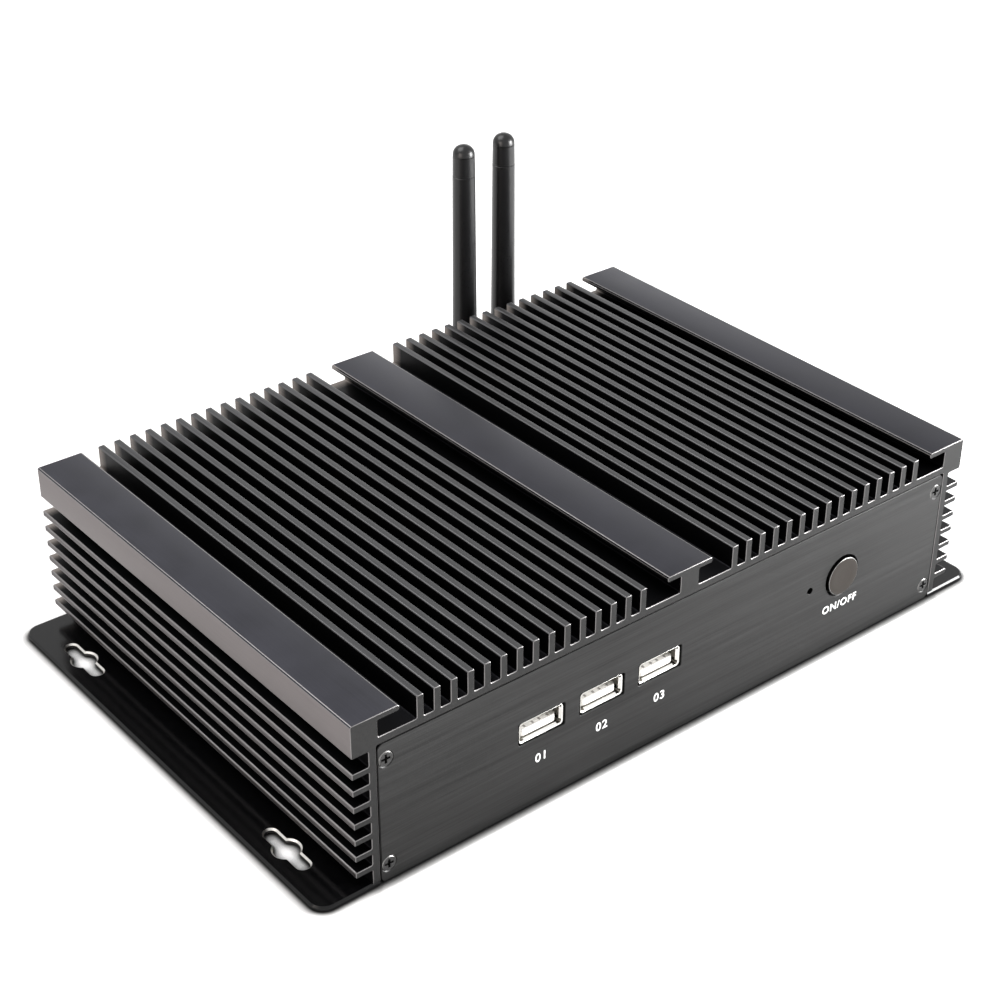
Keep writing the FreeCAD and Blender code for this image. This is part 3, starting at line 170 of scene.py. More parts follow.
class Shape:
    """Points and painted faces, in millimetres, that end up in one mesh."""

    def __init__(self) -> None:
        """Starts with nothing in it."""
        self.points: list[Vector] = []
        self.faces: list[tuple[int, ...]] = []
        self.paints: list[int] = []

    def ring(self, facing: Facing, origin: Spot, loop: Loop, out: float) -> list[int]:
        """Adds an outline's points.

        Args:
            facing: the way that the outline looks.
            origin: the place that it is measured from.
            loop: its points, anticlockwise.
            out: its distance from the origin, the way it looks.

        Returns:
            The numbers of the added points.
        """
        first = len(self.points)
        self.points += [facing.spot(origin, across, up, out) for across, up in loop]
        return list(range(first, len(self.points)))

    def face(self, corners: Sequence[int], paint: int) -> None:
        """Adds one face."""
        self.faces.append(tuple(corners))
        self.paints.append(paint)

    def skin(self, rings: Sequence[list[int]], paints: Sequence[int]) -> None:
        """Joins each ring to the next by a band of faces; a ring of one point is a pole."""
        for low, high, paint in zip(rings, rings[1:], paints):
            count = max(len(low), len(high))
            for index in range(count):
                after = (index + 1) % count
                if len(low) == 1:
                    self.face((low[0], high[after], high[index]), paint)
                elif len(high) == 1:
                    self.face((low[index], low[after], high[0]), paint)
                else:
                    self.face((low[index], low[after], high[after], high[index]), paint)

    def cover(self, rings: Sequence[list[int]], out: Vector, paint: int) -> None:
        """Fills an outline, less the holes in it, with faces that look one way.

        Args:
            rings: the outline's points, then each hole's.
            out: the way that the faces look.
            paint: the faces' finish.
        """
        numbers = [number for ring in rings for number in ring]
        for triple in tessellate_polygon([[self.points[number] for number in ring] for ring in rings]):
            a, b, c = (numbers[corner] for corner in triple)
            normal = (self.points[b] - self.points[a]).cross(self.points[c] - self.points[a])
            if normal.length > 0:
                self.face((a, b, c) if normal.dot(out) > 0 else (a, c, b), paint)

    def block(self, facing: Facing, origin: Spot, outer: Loop, depth: float,
              holes: Sequence[Hole] = (), edge: float = 0.1, paint: int = 0,
              edge_paint: Optional[int] = None, side_paint: Optional[int] = None) -> "Shape":
        """A solid behind an outline, with bevelled edges and holes.

        Args:
            facing: the way that its front face looks.
            origin: a point of its front plane.
            outer: its anticlockwise outline.
            depth: how far it goes back from that plane.
            holes: what is cut out of its front.
            edge: the width of its bevels.
            paint: the finish of its faces.
            edge_paint: the finish of its bevels, where that differs.
            side_paint: the finish of its sides, where that differs.

        Returns:
            The shape itself.
        """
        trim = paint if edge_paint is None else edge_paint
        wall = paint if side_paint is None else side_paint
        out = facing.spot((0, 0, 0), 0, 0, 1)

        def ring(loop: Loop, place: float, by: float) -> list[int]:
            """One ring of a loop, drawn in."""
            return self.ring(facing, origin, inset(loop, by), place)

        sides = [ring(outer, -depth, edge), ring(outer, edge - depth, 0),
                 ring(outer, -edge, 0), ring(outer, 0, edge)]
        self.skin(sides, (trim, wall, trim))
        front, back = [sides[-1]], [sides[0]]
        for hole in holes:
            flare = edge if hole.flare is None else hole.flare
            rim = hole.paint if hole.edge_paint is None else hole.edge_paint
            walls = [ring(hole.loop, 0, -flare), ring(hole.loop, -flare, 0)]
            if hole.depth is None:
                walls += [ring(hole.loop, edge - depth, 0), ring(hole.loop, -depth, -edge)]
                back.append(walls[-1])
            else:
                walls.append(ring(hole.loop, -hole.depth, 0))
                self.cover([walls[-1]], out, hole.paint)
            self.skin(walls, (rim, hole.paint, rim))
            front.append(walls[0])
        self.cover(front, out, paint)
        self.cover(back, -out, paint)
        return self

    def lathe(self, facing: Facing, origin: Spot, profile: Sequence[Sequence[float]], steps: int,
              paints: Optional[Sequence[int]] = None, ridges: int = 0, ridge_depth: float = 0.0) -> "Shape":
        """Turns a profile about the axis that a facing looks along.

        Args:
            facing: the way that the axis points.
            origin: a point of the axis.
            profile: radius and distance along the axis, from low to high on the outside; a third
                value of 1 marks a ridged ring.
            steps: points in each ring.
            paints: the finish of each band, where it isn't the first one for all.
            ridges: how many grooves a ridged ring has.
            ridge_depth: how deep those are.

        Returns:
            The shape itself.
        """
        rings = []
        for radius, place, *ridged in profile:
            if radius == 0:
                rings.append(self.ring(facing, origin, [(0, 0)], place))
                continue
            loop = []
            for step in range(steps):
                angle = FULL_TURN * step / steps
                dip = ridge_depth * (0.5 - 0.5 * math.cos(angle * ridges)) if ridged and ridged[0] else 0
                loop.append(((radius - dip) * math.cos(angle), (radius - dip) * math.sin(angle)))
            rings.append(self.ring(facing, origin, loop, place))
        self.skin(rings, paints or [0] * (len(rings) - 1))
        return self

    def moved(self, x: float, y: float, z: float, half_turn: bool = False) -> "Shape":
        """Puts the shape in its place, turned by half about Z where it looks to the rear."""
        turn = Matrix.Rotation(math.pi if half_turn else 0, 4, "Z")
        self.points = [turn @ point + Vector((x, y, z)) for point in self.points]
        return self

    def piece(self, name: str, finishes: Sequence["Finish"], body: str, slot: str,
              replaces: Sequence[str], origin: Spot = (0, 0, 0)) -> None:
        """Makes the object, dresses it and hangs it on its body.

        Args:
            name: the piece's name.
            finishes: what the face paints 0, 1, 2 ... stand for.
            body: the body that it rides on.
            slot: the record's material slot; not used.
            replaces: the nodes that it stands for.
            origin: where its own origin lies, which its grain is measured from.
        """
        middle = Vector(origin)
        mesh = bpy.data.meshes.new(name)
        mesh.from_pydata([(point - middle) * MM for point in self.points], [], self.faces)
        mesh.polygons.foreach_set("use_smooth", [True] * len(mesh.polygons))
        mesh.polygons.foreach_set("material_index", self.paints)
        for finish in finishes:
            mesh.materials.append(finish.material())
        mesh.update()
        mesh.set_sharp_from_angle(angle=SHARP_FROM)
        made = bpy.data.objects.new(name, mesh)
        made.location = middle * MM
        bpy.context.scene.collection.objects.link(made)
        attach(made, body)
        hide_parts(*replaces)
        log.info("%s: %d faces on %s", name, len(self.faces), body)


# Finishes


def linear(code: str) -> tuple[float, float, float, float]:
    """An sRGB hex colour as linear light."""
    parts = [int(code[place:place + 2], 16) / 255 for place in (1, 3, 5)]
    red, green, blue = (part / 12.92 if part <= 0.04045 else ((part + 0.055) / 1.055) ** 2.4
                        for part in parts)
    return red, green, blue, 1.0


def add_node(tree: Tree, kind: str, inputs: dict, **settings: object) -> bpy.types.Node:
    """Adds a node with its settings and links.

    Args:
        tree: the tree that it goes into.
        kind: Blender's name of its type.
        inputs: a constant or another node's output for each socket, by name or number.
        settings: values of the node's own properties.

    Returns:
        The new node.
    """
    node = tree.nodes.new(kind)
    for name, value in settings.items():
        setattr(node, name, value)
    for socket, value in inputs.items():
        if isinstance(value, bpy.types.NodeSocket):
            tree.links.new(value, node.inputs[socket])
        else:
            node.inputs[socket].default_value = value
    return node


def combine(tree: Tree, how: str, first: Socket, second: Union[Socket, float]) -> Socket:
    """Two numbers put together by one of Blender's own operations."""
    return add_node(tree, "ShaderNodeMath", {0: first, 1: second}, operation=how).outputs[0]


def blend(tree: Tree, share: float, first: Socket, second: Socket) -> Socket:
    """A number between two others."""
    return add_node(tree, "ShaderNodeMix", {"Factor": share, "A": first, "B": second},
                    data_type="FLOAT").outputs["Result"]


def tint(tree: Tree, share: Socket, low: Sequence[float], high: Union[Socket, Sequence[float]]) -> Socket:
    """A colour between two others."""
    return add_node(tree, "ShaderNodeMix", {"Factor": share, 6: low, 7: high}, data_type="RGBA").outputs[2]


def remap(tree: Tree, value: Socket, low: float, high: float, to_low: float = 0,
          to_high: float = 1) -> Socket:
    """A number moved from one range to another and kept within it."""
    return add_node(tree, "ShaderNodeMapRange", {
        "Value": value, "From Min": low, "From Max": high,
        "To Min": to_low, "To Max": to_high}).outputs["Result"]


def clouds(tree: Tree, place: Socket, scale: float) -> Socket:
    """Soft round clouds, so many per metre."""
    return add_node(tree, "ShaderNodeTexNoise", {
        "Vector": place, "Scale": scale, "Detail": 2.0}).outputs["Fac"]


def streaks(tree: Tree, place: Socket, size: Spot, octaves: float, roughness: float) -> Socket:
    """Noise whose marks have a size of their own along X, Y and Z.

    Args:
        tree: the tree that it goes into.
        place: where in the piece it is read.
        size: the marks' size.
        octaves: how many finer layers lie over it.
        roughness: how strong those are.

    Returns:
        The noise, from 0 to 1.
    """
    scale = [1 / (side * MM) for side in size]
    spread = add_node(tree, "ShaderNodeMapping", {"Vector": place, "Scale": scale}).outputs["Vector"]
    return add_node(tree, "ShaderNodeTexNoise", {
        "Vector": spread, "Scale": 1.0, "Detail": octaves, "Roughness": roughness}).outputs["Fac"]


@dataclass(frozen=True)
class Finish:
    """A surface with a grain that drifts between two colours and lifts the light a little.

    The grain is the size of its marks along X, Y and Z. The patch is the width of the broad,
    faint clouds that handling, dye and paint leave. The band is what the noise mostly stays
    within, over which the roughness takes its full swing.
    """

    name: str
    colour: str
    shade: str
    roughness: float
    grain: Spot
    metallic: float = 0.0
    specular: float = 0.5
    swing: float = 0.06
    relief: float = 0.0
    octaves: float = 2.0
    patch: float = 30.0
    patch_share: float = 0.25
    coat: float = 0.0
    coat_roughness: float = 0.1
    contrast: float = 0.5
    band: Flat = (0.25, 0.75)

    def material(self) -> bpy.types.Material:
        """The finish as a material, made once."""
        made = bpy.data.materials.get(self.name)
        if made is None:
            made = bpy.data.materials.new(self.name)
            made.use_nodes = True
            made.diffuse_color = linear(self.colour)
            tree = made.node_tree
            tree.nodes.clear()
            shader = add_node(tree, "ShaderNodeBsdfPrincipled", {
                "Metallic": self.metallic, "Specular IOR Level": self.specular, "Coat Weight": self.coat,
                "Coat Roughness": self.coat_roughness})
            add_node(tree, "ShaderNodeOutputMaterial", {"Surface": shader.outputs["BSDF"]})
            self.dress(tree, shader)
        return made

    def marks(self, tree: Tree, place: Socket) -> Socket:
        """The grain itself, from 0 to 1."""
        return streaks(tree, place, self.grain, self.octaves, 0.6)

    def dress(self, tree: Tree, shader: bpy.types.Node) -> None:
        """Feeds the grain to the shader's colour, roughness and bump."""
        place = add_node(tree, "ShaderNodeTexCoord", {}).outputs["Object"]
        marks = self.marks(tree, place)
        mottle = blend(tree, self.patch_share, marks, clouds(tree, place, 1 / (self.patch * MM)))
        low = 0.5 - self.contrast / 2
        colour = tint(tree, remap(tree, mottle, low, 1 - low), linear(self.shade), linear(self.colour))
        rough = remap(tree, mottle, *self.band, self.roughness - self.swing, self.roughness + self.swing)
        tree.links.new(colour, shader.inputs["Base Color"])
        tree.links.new(rough, shader.inputs["Roughness"])
        if self.relief:
            bump = add_node(tree, "ShaderNodeBump", {
                "Strength": 1.0, "Distance": self.relief * MM, "Height": marks})
            tree.links.new(bump.outputs["Normal"], shader.inputs["Normal"])


@dataclass(frozen=True)
class Metal(Finish):
    """A bare, plated or anodised metal."""

    metallic: float = 1.0


@dataclass(frozen=True)
class TurnedMetal(Metal):
    """A faced end: fine rings about the Y axis through the piece's own origin."""

    ring: float = 0.35

    def marks(self, tree: Tree, place: Socket) -> Socket:
        """Rings of uneven strength, from the distance to the axis."""
        flat = add_node(tree, "ShaderNodeVectorMath", {0: place, 1: (1, 0, 1)}, operation="MULTIPLY")
        reach = add_node(tree, "ShaderNodeVectorMath", {0: flat.outputs["Vector"]}, operation="LENGTH")
        noise = add_node(tree, "ShaderNodeTexNoise", {
            "W": reach.outputs["Value"], "Scale": 1 / (self.ring * MM), "Detail": 2.0}, noise_dimensions="1D")
        return noise.outputs["Fac"]


@dataclass(frozen=True)
class BrushedMetal(Metal):
    """A brushed face: fine scratches, with broader bright ones here and there."""

    broad: Spot = (55, 55, 1.5)
    broad_share: float = 0.42

    def marks(self, tree: Tree, place: Socket) -> Socket:
        """Fine and broad scratches, blended."""
        broad = streaks(tree, place, self.broad, 3.0, 0.65)
        return blend(tree, self.broad_share, super().marks(tree, place), broad)


@dataclass(frozen=True)
class GrooveMetal(Metal):
    """A groove's walls: painted dark as shade, and painted paler over the last millimetres before the rear end as a
    reflection.
    """

    pale_from: float = 61.0
    pale_to: float = 69.0
    steepness: float = 2.0
    uneven: Flat = (0.8, 1.2)

    def marks(self, tree: Tree, place: Socket) -> Socket:
        """0 along the groove, rising to 1 at the rear end, broken up by the grain."""
        along = add_node(tree, "ShaderNodeSeparateXYZ", {0: place}).outputs["Y"]
        rise = remap(tree, along, self.pale_from * MM, self.pale_to * MM)
        steep = combine(tree, "POWER", rise, self.steepness)
        grain = remap(tree, super().marks(tree, place), 0, 1, *self.uneven)
        return combine(tree, "MULTIPLY", steep, grain)


@dataclass(frozen=True)
class LaminateFinish(Finish):
    """A circuit board: solder resist over copper tracks that show as a paler maze."""

    track: float = 1.6

    def marks(self, tree: Tree, place: Socket) -> Socket:
        """Straight-edged cells as wide as a run of tracks."""
        cells = add_node(tree, "ShaderNodeTexVoronoi", {
            "Vector": place, "Scale": 1 / (self.track * MM)}, distance="CHEBYCHEV", feature="F1")
        return cells.outputs["Distance"]


# Extruded aluminium, black anodised: a satin metal whose die lines run along Y. The real lines are
# a few hundredths of a millimetre wide; they are drawn at a quarter of a millimetre so that they show.
ANODISED_EXTRUSION = Metal("black_anodised_extruded_aluminium", "#3c3c42", "#323237", 0.42, (0.25, 45, 0.25),
                           swing=0.07, relief=0.0015, patch=9, patch_share=0.5, contrast=0.45)
# Rounded edges and the sawn ends' bevels are painted paler than the faces: a painted highlight, the thin bright line
# along them.
# The marks are long and soft, so that the thin bright line stays even along its length.
ANODISED_EDGE_PAINTED_HIGHLIGHT = Metal("black_anodised_aluminium_edge_painted_highlight", "#7e7c7c", "#6e6c6c", 0.4, (6, 60, 6), swing=0.03)
# The roof's fin edges get a fainter painted highlight than the outer ones.
ANODISED_FIN_EDGE_PAINTED_HIGHLIGHT = Metal("black_anodised_aluminium_fin_edge_painted_highlight", "#5c5c5d", "#4c4c4d", 0.4, (6, 60, 6),
                          swing=0.03)
# Narrow fin tops, painted paler than the caps' tops.
ANODISED_FIN_TOP = Metal("pale_black_anodised_aluminium_fin_top", "#4c4c4d", "#3f3f40", 0.44,
                         (0.4, 30, 0.4), swing=0.05)
# The grooves are painted near black: painted shade down between the fins.
# Over the last millimetres before the rear end the walls are painted pale: a painted reflection of the white
# surround.
ANODISED_GROOVE_PAINTED_SHADE_AND_REFLECTION = GrooveMetal("dense_black_anodised_aluminium_groove", "#77716d", "#151517", 0.5,
                              (0.4, 30, 0.4), swing=0.05, patch_share=0.0)
# The outer flanks of the corner bars are painted a pale, slightly warm grey: painted light on the side faces.
# The tips of the side fins are darker, also painted light.
ANODISED_FLANK_PAINTED_LIGHT = Metal("black_anodised_aluminium_flank_painted_light", "#777272", "#6b6666", 0.45,
                       (0.4, 40, 0.4), swing=0.05)
ANODISED_TIP_PAINTED_LIGHT = Metal("black_anodised_aluminium_tip_painted_light", "#5c5959", "#4f4c4c", 0.45, (0.4, 40, 0.4),
                     swing=0.05)
# Sawn ends of the extrusion, blasted before the dye: a grey with a fine speckle.
SAWN_END = Metal("black_anodised_sawn_aluminium", "#3a3a3a", "#2d2d2d", 0.5, (0.45, 0.45, 0.45),
                 swing=0.1, relief=0.003)
# Rolled plate, brushed along X and black anodised: scratches 0.2 mm wide and some 25 mm long,
# with broader ones 1.5 mm wide.
BRUSHED_PLATE = BrushedMetal("black_anodised_brushed_aluminium", "#424242", "#242424", 0.44, (26, 26, 0.22),
                             swing=0.13, relief=0.003, octaves=3, patch=60, contrast=0.42)
PLATE_EDGE = Metal("black_anodised_aluminium_plate_edge", "#303030", "#202020", 0.35, (3, 3, 0.3))
# Steel sheet with a baked black powder coat: almost black, glossy, with a faint orange peel.
POWDER_COAT = Finish("black_powder_coated_steel", "#070708", "#040405", 0.17, (1.1, 1.1, 1.1), relief=0.003,
                     swing=0.04, specular=0.3, patch=35)
# Where the slots were punched through the coat the bare steel shows, painted paler than steel as a painted highlight
# along the rim.
PUNCHED_EDGE_AND_PAINTED_HIGHLIGHT = Metal("bare_punched_steel_edge_painted_highlight", "#dedcd8", "#c2c0bc", 0.35, (1.5, 1.5, 1.5))
# The punched wall is painted a dark grey: painted shade inside the slot, under the bright rim.
PUNCHED_WALL_PAINTED_SHADE = Metal("punched_steel_wall_painted_shade", "#5a5958", "#3d3c3b", 0.55, (0.4, 0.4, 0.8))
# Steel screws, blackened zinc: dark and oily, with paler worn rims; the same pale rim paint is a painted highlight
# on the button's rounding.
BLACK_ZINC = Metal("black_zinc_plated_steel", "#4e4e4e", "#3a3a3a", 0.38, (0.5, 0.5, 0.5))
WORN_RIM_AND_PAINTED_HIGHLIGHT = Metal("worn_zinc_rim_and_painted_highlight", "#8c8b89", "#737271", 0.35, (0.8, 0.8, 0.8))
# The crossed recess is painted near black: painted shade.
DRIVE_RECESS_PAINTED_SHADE = Finish("drive_recess_painted_shade", "#0c0c0c", "#060606", 0.5, (0.4, 0.4, 0.4))
BRIGHT_ZINC = Metal("bright_zinc_plated_steel", "#b9bab8", "#979a9b", 0.28, (0.6, 0.6, 0.6))
# Folded steel with bright nickel: a mirror that has gone slightly soft, rolled along the fold.
NICKEL_STEEL = Metal("nickel_plated_steel", "#d6d4cf", "#bab8b3", 0.2, (6, 0.4, 0.4), swing=0.07)
# The flared lips and the mouths' rims are painted near white: a painted highlight, the brightest line.
LIP_PAINTED_HIGHLIGHT = Metal("nickel_plated_lip_painted_highlight", "#f2f1ee", "#e2e1dd", 0.3, (3, 3, 3), swing=0.03)
# Moulded nylon in white and black: a dull skin with fine mould texture.
WHITE_NYLON = Finish("white_moulded_nylon", "#f0eeea", "#e2dfda", 0.45, (0.5, 0.5, 0.5), relief=0.004)
BLACK_NYLON = Finish("black_moulded_nylon", "#17171a", "#0f0f11", 0.5, (0.4, 0.4, 0.4), relief=0.006)
# A grey patch laid on the white nylon tongue where a narrow slot is: painted shade of the slot, which sees little
# light.
NYLON_SLOT_PAINTED_SHADE = Finish("white_nylon_slot_painted_shade", "#a5a29d", "#8b8884", 0.6, (0.3, 0.3, 0.3))
GOLD_CONTACT = Metal("gold_plated_bronze_contact", "#c9a35a", "#a37f3c", 0.25, (0.3, 2, 0.3))
GOLD_BRASS = Metal("gold_plated_turned_brass", "#c8a05a", "#a8803e", 0.26, (0.4, 0.4, 0.4))
# The button: aluminium turned, faced and dyed a warm grey, with rings some tenths wide.
TURNED_CAP = TurnedMetal("warm_grey_anodised_turned_aluminium", "#403c38", "#373330", 0.36, (1, 1, 1),
                         swing=0.05, relief=0.001, patch=6)
# The cap's side and the lower half of its rounding are painted black: painted shade of the ring round the cap.
CAP_SIDE_PAINTED_SHADE = Metal("turned_cap_side_painted_shade", "#161616", "#0d0d0d", 0.4, (0.6, 0.6, 0.6))
# Whips: satin black elastomer over a steel core, with a skin that is soft to the touch.
SATIN_ELASTOMER = Finish("black_moulded_elastomer", "#101011", "#0a0a0b", 0.3, (0.5, 0.5, 0.5), relief=0.002,
                         specular=0.4, swing=0.04)
LAMINATE = LaminateFinish("green_solder_resist_laminate", "#12502f", "#0b3a22", 0.35, (1, 1, 1), relief=0.01)
EPOXY_PACKAGE = Finish("moulded_epoxy_package", "#1b1b1d", "#131314", 0.55, (0.3, 0.3, 0.3), relief=0.004)
# Milled from bar: cutter marks half a millimetre apart.
MILLED_ALUMINIUM = Metal("milled_aluminium", "#b5b6b8", "#8f9194", 0.32, (0.5, 8, 8), relief=0.003)
SILICONE = Finish("silicone_gap_pad", "#737d92", "#626b80", 0.75, (0.6, 0.6, 0.6), relief=0.02)
SMOKED_ACRYLIC = Finish("smoked_moulded_acrylic", "#1b1b1d", "#121213", 0.12, (1, 1, 1), coat=0.5)
CABLE_SHEATH = Finish("black_cable_sheath", "#141415", "#0c0c0d", 0.5, (0.8, 0.8, 0.8), relief=0.006)
# Screen-printed ink: flat white, a little thin where the brushed grain shows through.
PRINT_INK = Finish("white_screen_print_ink", "#fafaf9", "#eaeae8", 0.6, (0.25, 0.25, 0.12))
AMBER_WINDOW = Finish("amber_lamp_window", "#b98230", "#8f5f1d", 0.2, (0.5, 0.5, 0.5), coat=0.4)
GREEN_WINDOW = Finish("green_lamp_window", "#3d8f4a", "#2b6e37", 0.2, (0.5, 0.5, 0.5), coat=0.4)


def dress_node(name: str, finish: Finish, edge: float = 0.12) -> None:
    """Gives a carried-over node its finish and soft edges.

    Args:
        name: the node's name.
        finish: its finish.
        edge: the width of its rounded edges.
    """
    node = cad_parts[name]
    for place in range(len(node.material_slots)):
        node.material_slots[place].link = "OBJECT"
        node.material_slots[place].material = finish.material()
    weld = node.modifiers.new("joined_points", "WELD")
    weld.merge_threshold = 0.001 * MM
    if edge:
        plain = node.modifiers.new("plain_faces", "DECIMATE")
        plain.decimate_type = "DISSOLVE"
        plain.angle_limit = math.radians(0.5)
        bevel = node.modifiers.new("soft_edges", "BEVEL")
        bevel.width = edge * MM
        bevel.segments = 2
        bevel.limit_method = "ANGLE"
        bevel.angle_limit = ROUNDED_FROM
        bevel.use_clamp_overlap = True
    log.info("%s: carried over", name)


# The object's sub-assemblies


@dataclass
class Layout:
    """Where things sit that more than one sub-assembly has to know."""

    end: float = 69.0
    seat: float = 19.95
    face: float = 68.7
    front_port_x: Spot = (-45.4, -26.9, -8.4)
    rear_port_x: Flat = (-32.0, -49.0)
    network_x: Flat = (4.0, -13.5)
    audio_x: Flat = (20.0, 29.0)
    video_x: float = -66.0
    inlet_x: float = -80.0
    antenna_x: Flat = (52.6, 67.5)
    antenna_z: float = 13.0
    button_x: float = 55.2
    button_z: float = 22.5
    screw_x: float = 89.5
    screw_z: Flat = (5.1, 34.65)


@dataclass
class FinnedCase(Layout):
    """The extruded case: roof, walls, corner bars, a centre bar and all its fins."""

    bar: float = 98.5
    wall: float = 94.0
    inner: float = 92.0
    foot: float = 1.5
    top: float = 47.5
    plate: float = 41.5
    ceiling: float = 39.5
    block_side: float = 91.4
    block_low: float = 38.75
    cap_tip: float = 85.5
    cap_low: float = 46.05
    centre_cap: float = 7.25
    centre_stem: float = 2.95
    fin_first: float = 14.0
    fin_pitch: float = 4.65
    fin_thickness: float = 1.85
    fin_count: int = 15
    side_first: float = 34.65
    side_pitch: float = 4.6
    side_thickness: float = 1.55
    side_count: int = 7
    tip_round: float = 0.3
    root_round: float = 0.35
    bar_low_round: float = 0.45
    bar_top_round: float = 0.5
    lip_round: float = 0.6
    sawn_edge: float = 0.14
    rail_back: float = 67.5
    rail_bite: float = 0.4
    # Each rail inside: its reach from the wall, its underside and its top.
    rails: tuple[Spot, ...] = ((8.6, 1.5, 7.7), (5.0, 32.15, 37.15))

    def half(self) -> list[tuple[float, ...]]:
        """Half of the outline, from the right wall's foot to the middle of the roof."""
        tip, root, lip = self.tip_round, self.root_round, self.lip_round
        corners: list[tuple[float, ...]] = [(self.inner, self.foot), (self.wall, self.foot)]
        for fin in reversed(range(self.side_count)):
            high = self.side_first - fin * self.side_pitch
            low = high - self.side_thickness
            corners += [(self.wall, low, root), (self.bar, low, tip), (self.bar, high, tip),
                        (self.wall, high, root)]
        corners += [(self.wall, self.block_low, root), (self.bar, self.block_low, self.bar_low_round),
                    (self.bar, self.top, self.bar_top_round),
                    (self.cap_tip, self.top, lip), (self.cap_tip, self.cap_low, lip),
                    (self.block_side, self.cap_low, root), (self.block_side, self.plate, root)]
        for fin in reversed(range(self.fin_count)):
            near = self.fin_first + fin * self.fin_pitch
            far = near + self.fin_thickness
            corners += [(far, self.plate, root), (far, self.top, tip), (near, self.top, tip),
                        (near, self.plate, root)]
        corners += [(self.centre_stem, self.plate, root), (self.centre_stem, self.cap_low, root),
                    (self.centre_cap, self.cap_low, lip), (self.centre_cap, self.top, lip)]
        return corners

    def build(self) -> None:
        """Draws the outline out to both ends, with sawn end faces and the ribs inside."""
        right = self.half()
        left = [(-corner[0], *corner[1:]) for corner in reversed(right)]
        hollow = [(-self.inner, self.ceiling, self.lip_round), (self.inner, self.ceiling, self.lip_round)]
        outer = rounded(right + left + hollow, steps=3)
        case = Shape()
        case.block(Facing.FRONT, (0, -self.end, 0), outer, 2 * self.end, edge=self.sawn_edge, paint=1,
                   edge_paint=2, side_paint=0)
        for side in (1, -1):
            for reach, low, high in self.rails:
                across = sorted((side * (self.inner - reach), side * (self.inner + self.rail_bite)))
                case.block(Facing.FRONT, (0, -self.rail_back, 0), rectangle(*across, low, high),
                           2 * self.rail_back)
        for number, corners in enumerate(case.faces):
            if case.paints[number] == 0 and len(corners) == 4:
                case.paints[number] = self.paint_of([case.points[corner] for corner in corners])
        case.piece("finned_case", (ANODISED_EXTRUSION, SAWN_END, ANODISED_EDGE_PAINTED_HIGHLIGHT, ANODISED_GROOVE_PAINTED_SHADE_AND_REFLECTION,
                                   ANODISED_FIN_TOP, ANODISED_FLANK_PAINTED_LIGHT, ANODISED_TIP_PAINTED_LIGHT, ANODISED_FIN_EDGE_PAINTED_HIGHLIGHT),
                   "case", "anodised_case", ("heatsink_housing",))

    def paint_of(self, spots: list[Vector]) -> int:
        """The paint of one long face of the extrusion, from where it lies.

        Args:
            spots: the face's corners.

        Returns:
            0 for a plain face, 2 and 7 for edges with a painted highlight, 3 in a groove with painted shade, 4 on a
            fin's top,
            5 on a bar's flank and 6 on a side fin's tip, both with painted light.
        """
        hair = 0.01
        width = min((spots[1] - spots[0]).length, (spots[2] - spots[1]).length)
        low, high = min(spot.z for spot in spots), max(spot.z for spot in spots)
        near, far = min(abs(spot.x) for spot in spots), max(abs(spot.x) for spot in spots)
        over_fins = self.centre_cap < near < self.cap_tip - 1
        if width < 0.3 and (low > self.top - 0.7 or near > self.bar - 0.5):
            return 7 if over_fins else 2
        if low > self.top - hair:
            return 4 if over_fins else 0
        if near > self.bar - hair:
            return 5 if low > self.block_low - hair else 6
        in_roof = low > self.ceiling + 1 and far < self.bar - 1
        in_side = near > self.wall - 0.1 and high < self.block_low + 1
        return 3 if in_roof or in_side else 0


@dataclass
class EndPlates(Layout):
    """The brushed plates that close the case, set flush into its ends."""

    half_width: float = 91.75
    low: float = 0.5
    high: float = 39.25
    corner: float = 1.5
    thickness: float = 1.5
    shank: float = 2.5
    head: float = 4.4
    port_z: Flat = (19.63, 25.97)
    port_half: float = 7.0
    button_width: float = 11.9
    lamp_x: float = 43.4
    lamp_width: float = 1.9
    gap: float = 0.4
    network_size: Flat = (15.9, 13.4)
    stack_size: Flat = (13.1, 15.6)
    video_size: Flat = (15.0, 6.0)
    # Height and width of the round windows.
    audio_window: Flat = (22.75, 6.2)
    inlet_window: Flat = (26.35, 6.8)
    antenna_width: float = 6.3

    def screw_holes(self) -> list[Hole]:
        """The countersunk corner holes."""
        flare = (self.head - self.shank) / 2
        return [Hole(circle(side * self.screw_x, row, self.shank, 28), flare=flare)
                for side in (1, -1) for row in self.screw_z]

    def plate(self, name: str, facing: Facing, holes: list[Hole], node: str) -> None:
        """Cuts one plate and dresses it."""
        outer = rectangle(-self.half_width, self.half_width, self.low, self.high, self.corner)
        y = -self.end if facing is Facing.FRONT else self.end
        made = Shape().block(facing, (0, y, 0), outer, self.thickness, self.screw_holes() + holes, edge=0.12,
                             edge_paint=1)
        made.piece(name, (BRUSHED_PLATE, PLATE_EDGE), "case", "brushed_panel", (node,))

    def build(self) -> None:
        """Makes both plates."""
        ports = [Hole(rectangle(x - self.port_half, x + self.port_half, *self.port_z, 0.5), edge_paint=1)
                 for x in self.front_port_x]
        round_holes = [Hole(circle(self.button_x, self.button_z, self.button_width, 64), paint=1),
                       Hole(circle(self.lamp_x, self.button_z, self.lamp_width, 20), flare=0.08, paint=1)]
        self.plate("front_plate", Facing.FRONT, ports + round_holes, "front_panel")
        boxes = ([(x, *self.network_size) for x in self.network_x]
                 + [(x, *self.stack_size) for x in self.rear_port_x] + [(self.video_x, *self.video_size)])
        rounds = ([(x, *self.audio_window) for x in self.audio_x] + [(self.inlet_x, *self.inlet_window)]
                  + [(x, self.antenna_z, self.antenna_width) for x in self.antenna_x])
        windows = [Hole(rectangle(-x - width / 2 - self.gap, -x + width / 2 + self.gap, self.seat - self.gap,
                                  self.seat + height + self.gap, 0.5), edge_paint=1)
                   for x, width, height in boxes]
        windows += [Hole(circle(-x, z, width), edge_paint=1) for x, z, width in rounds]
        self.plate("rear_plate", Facing.REAR, windows, "rear_panel")


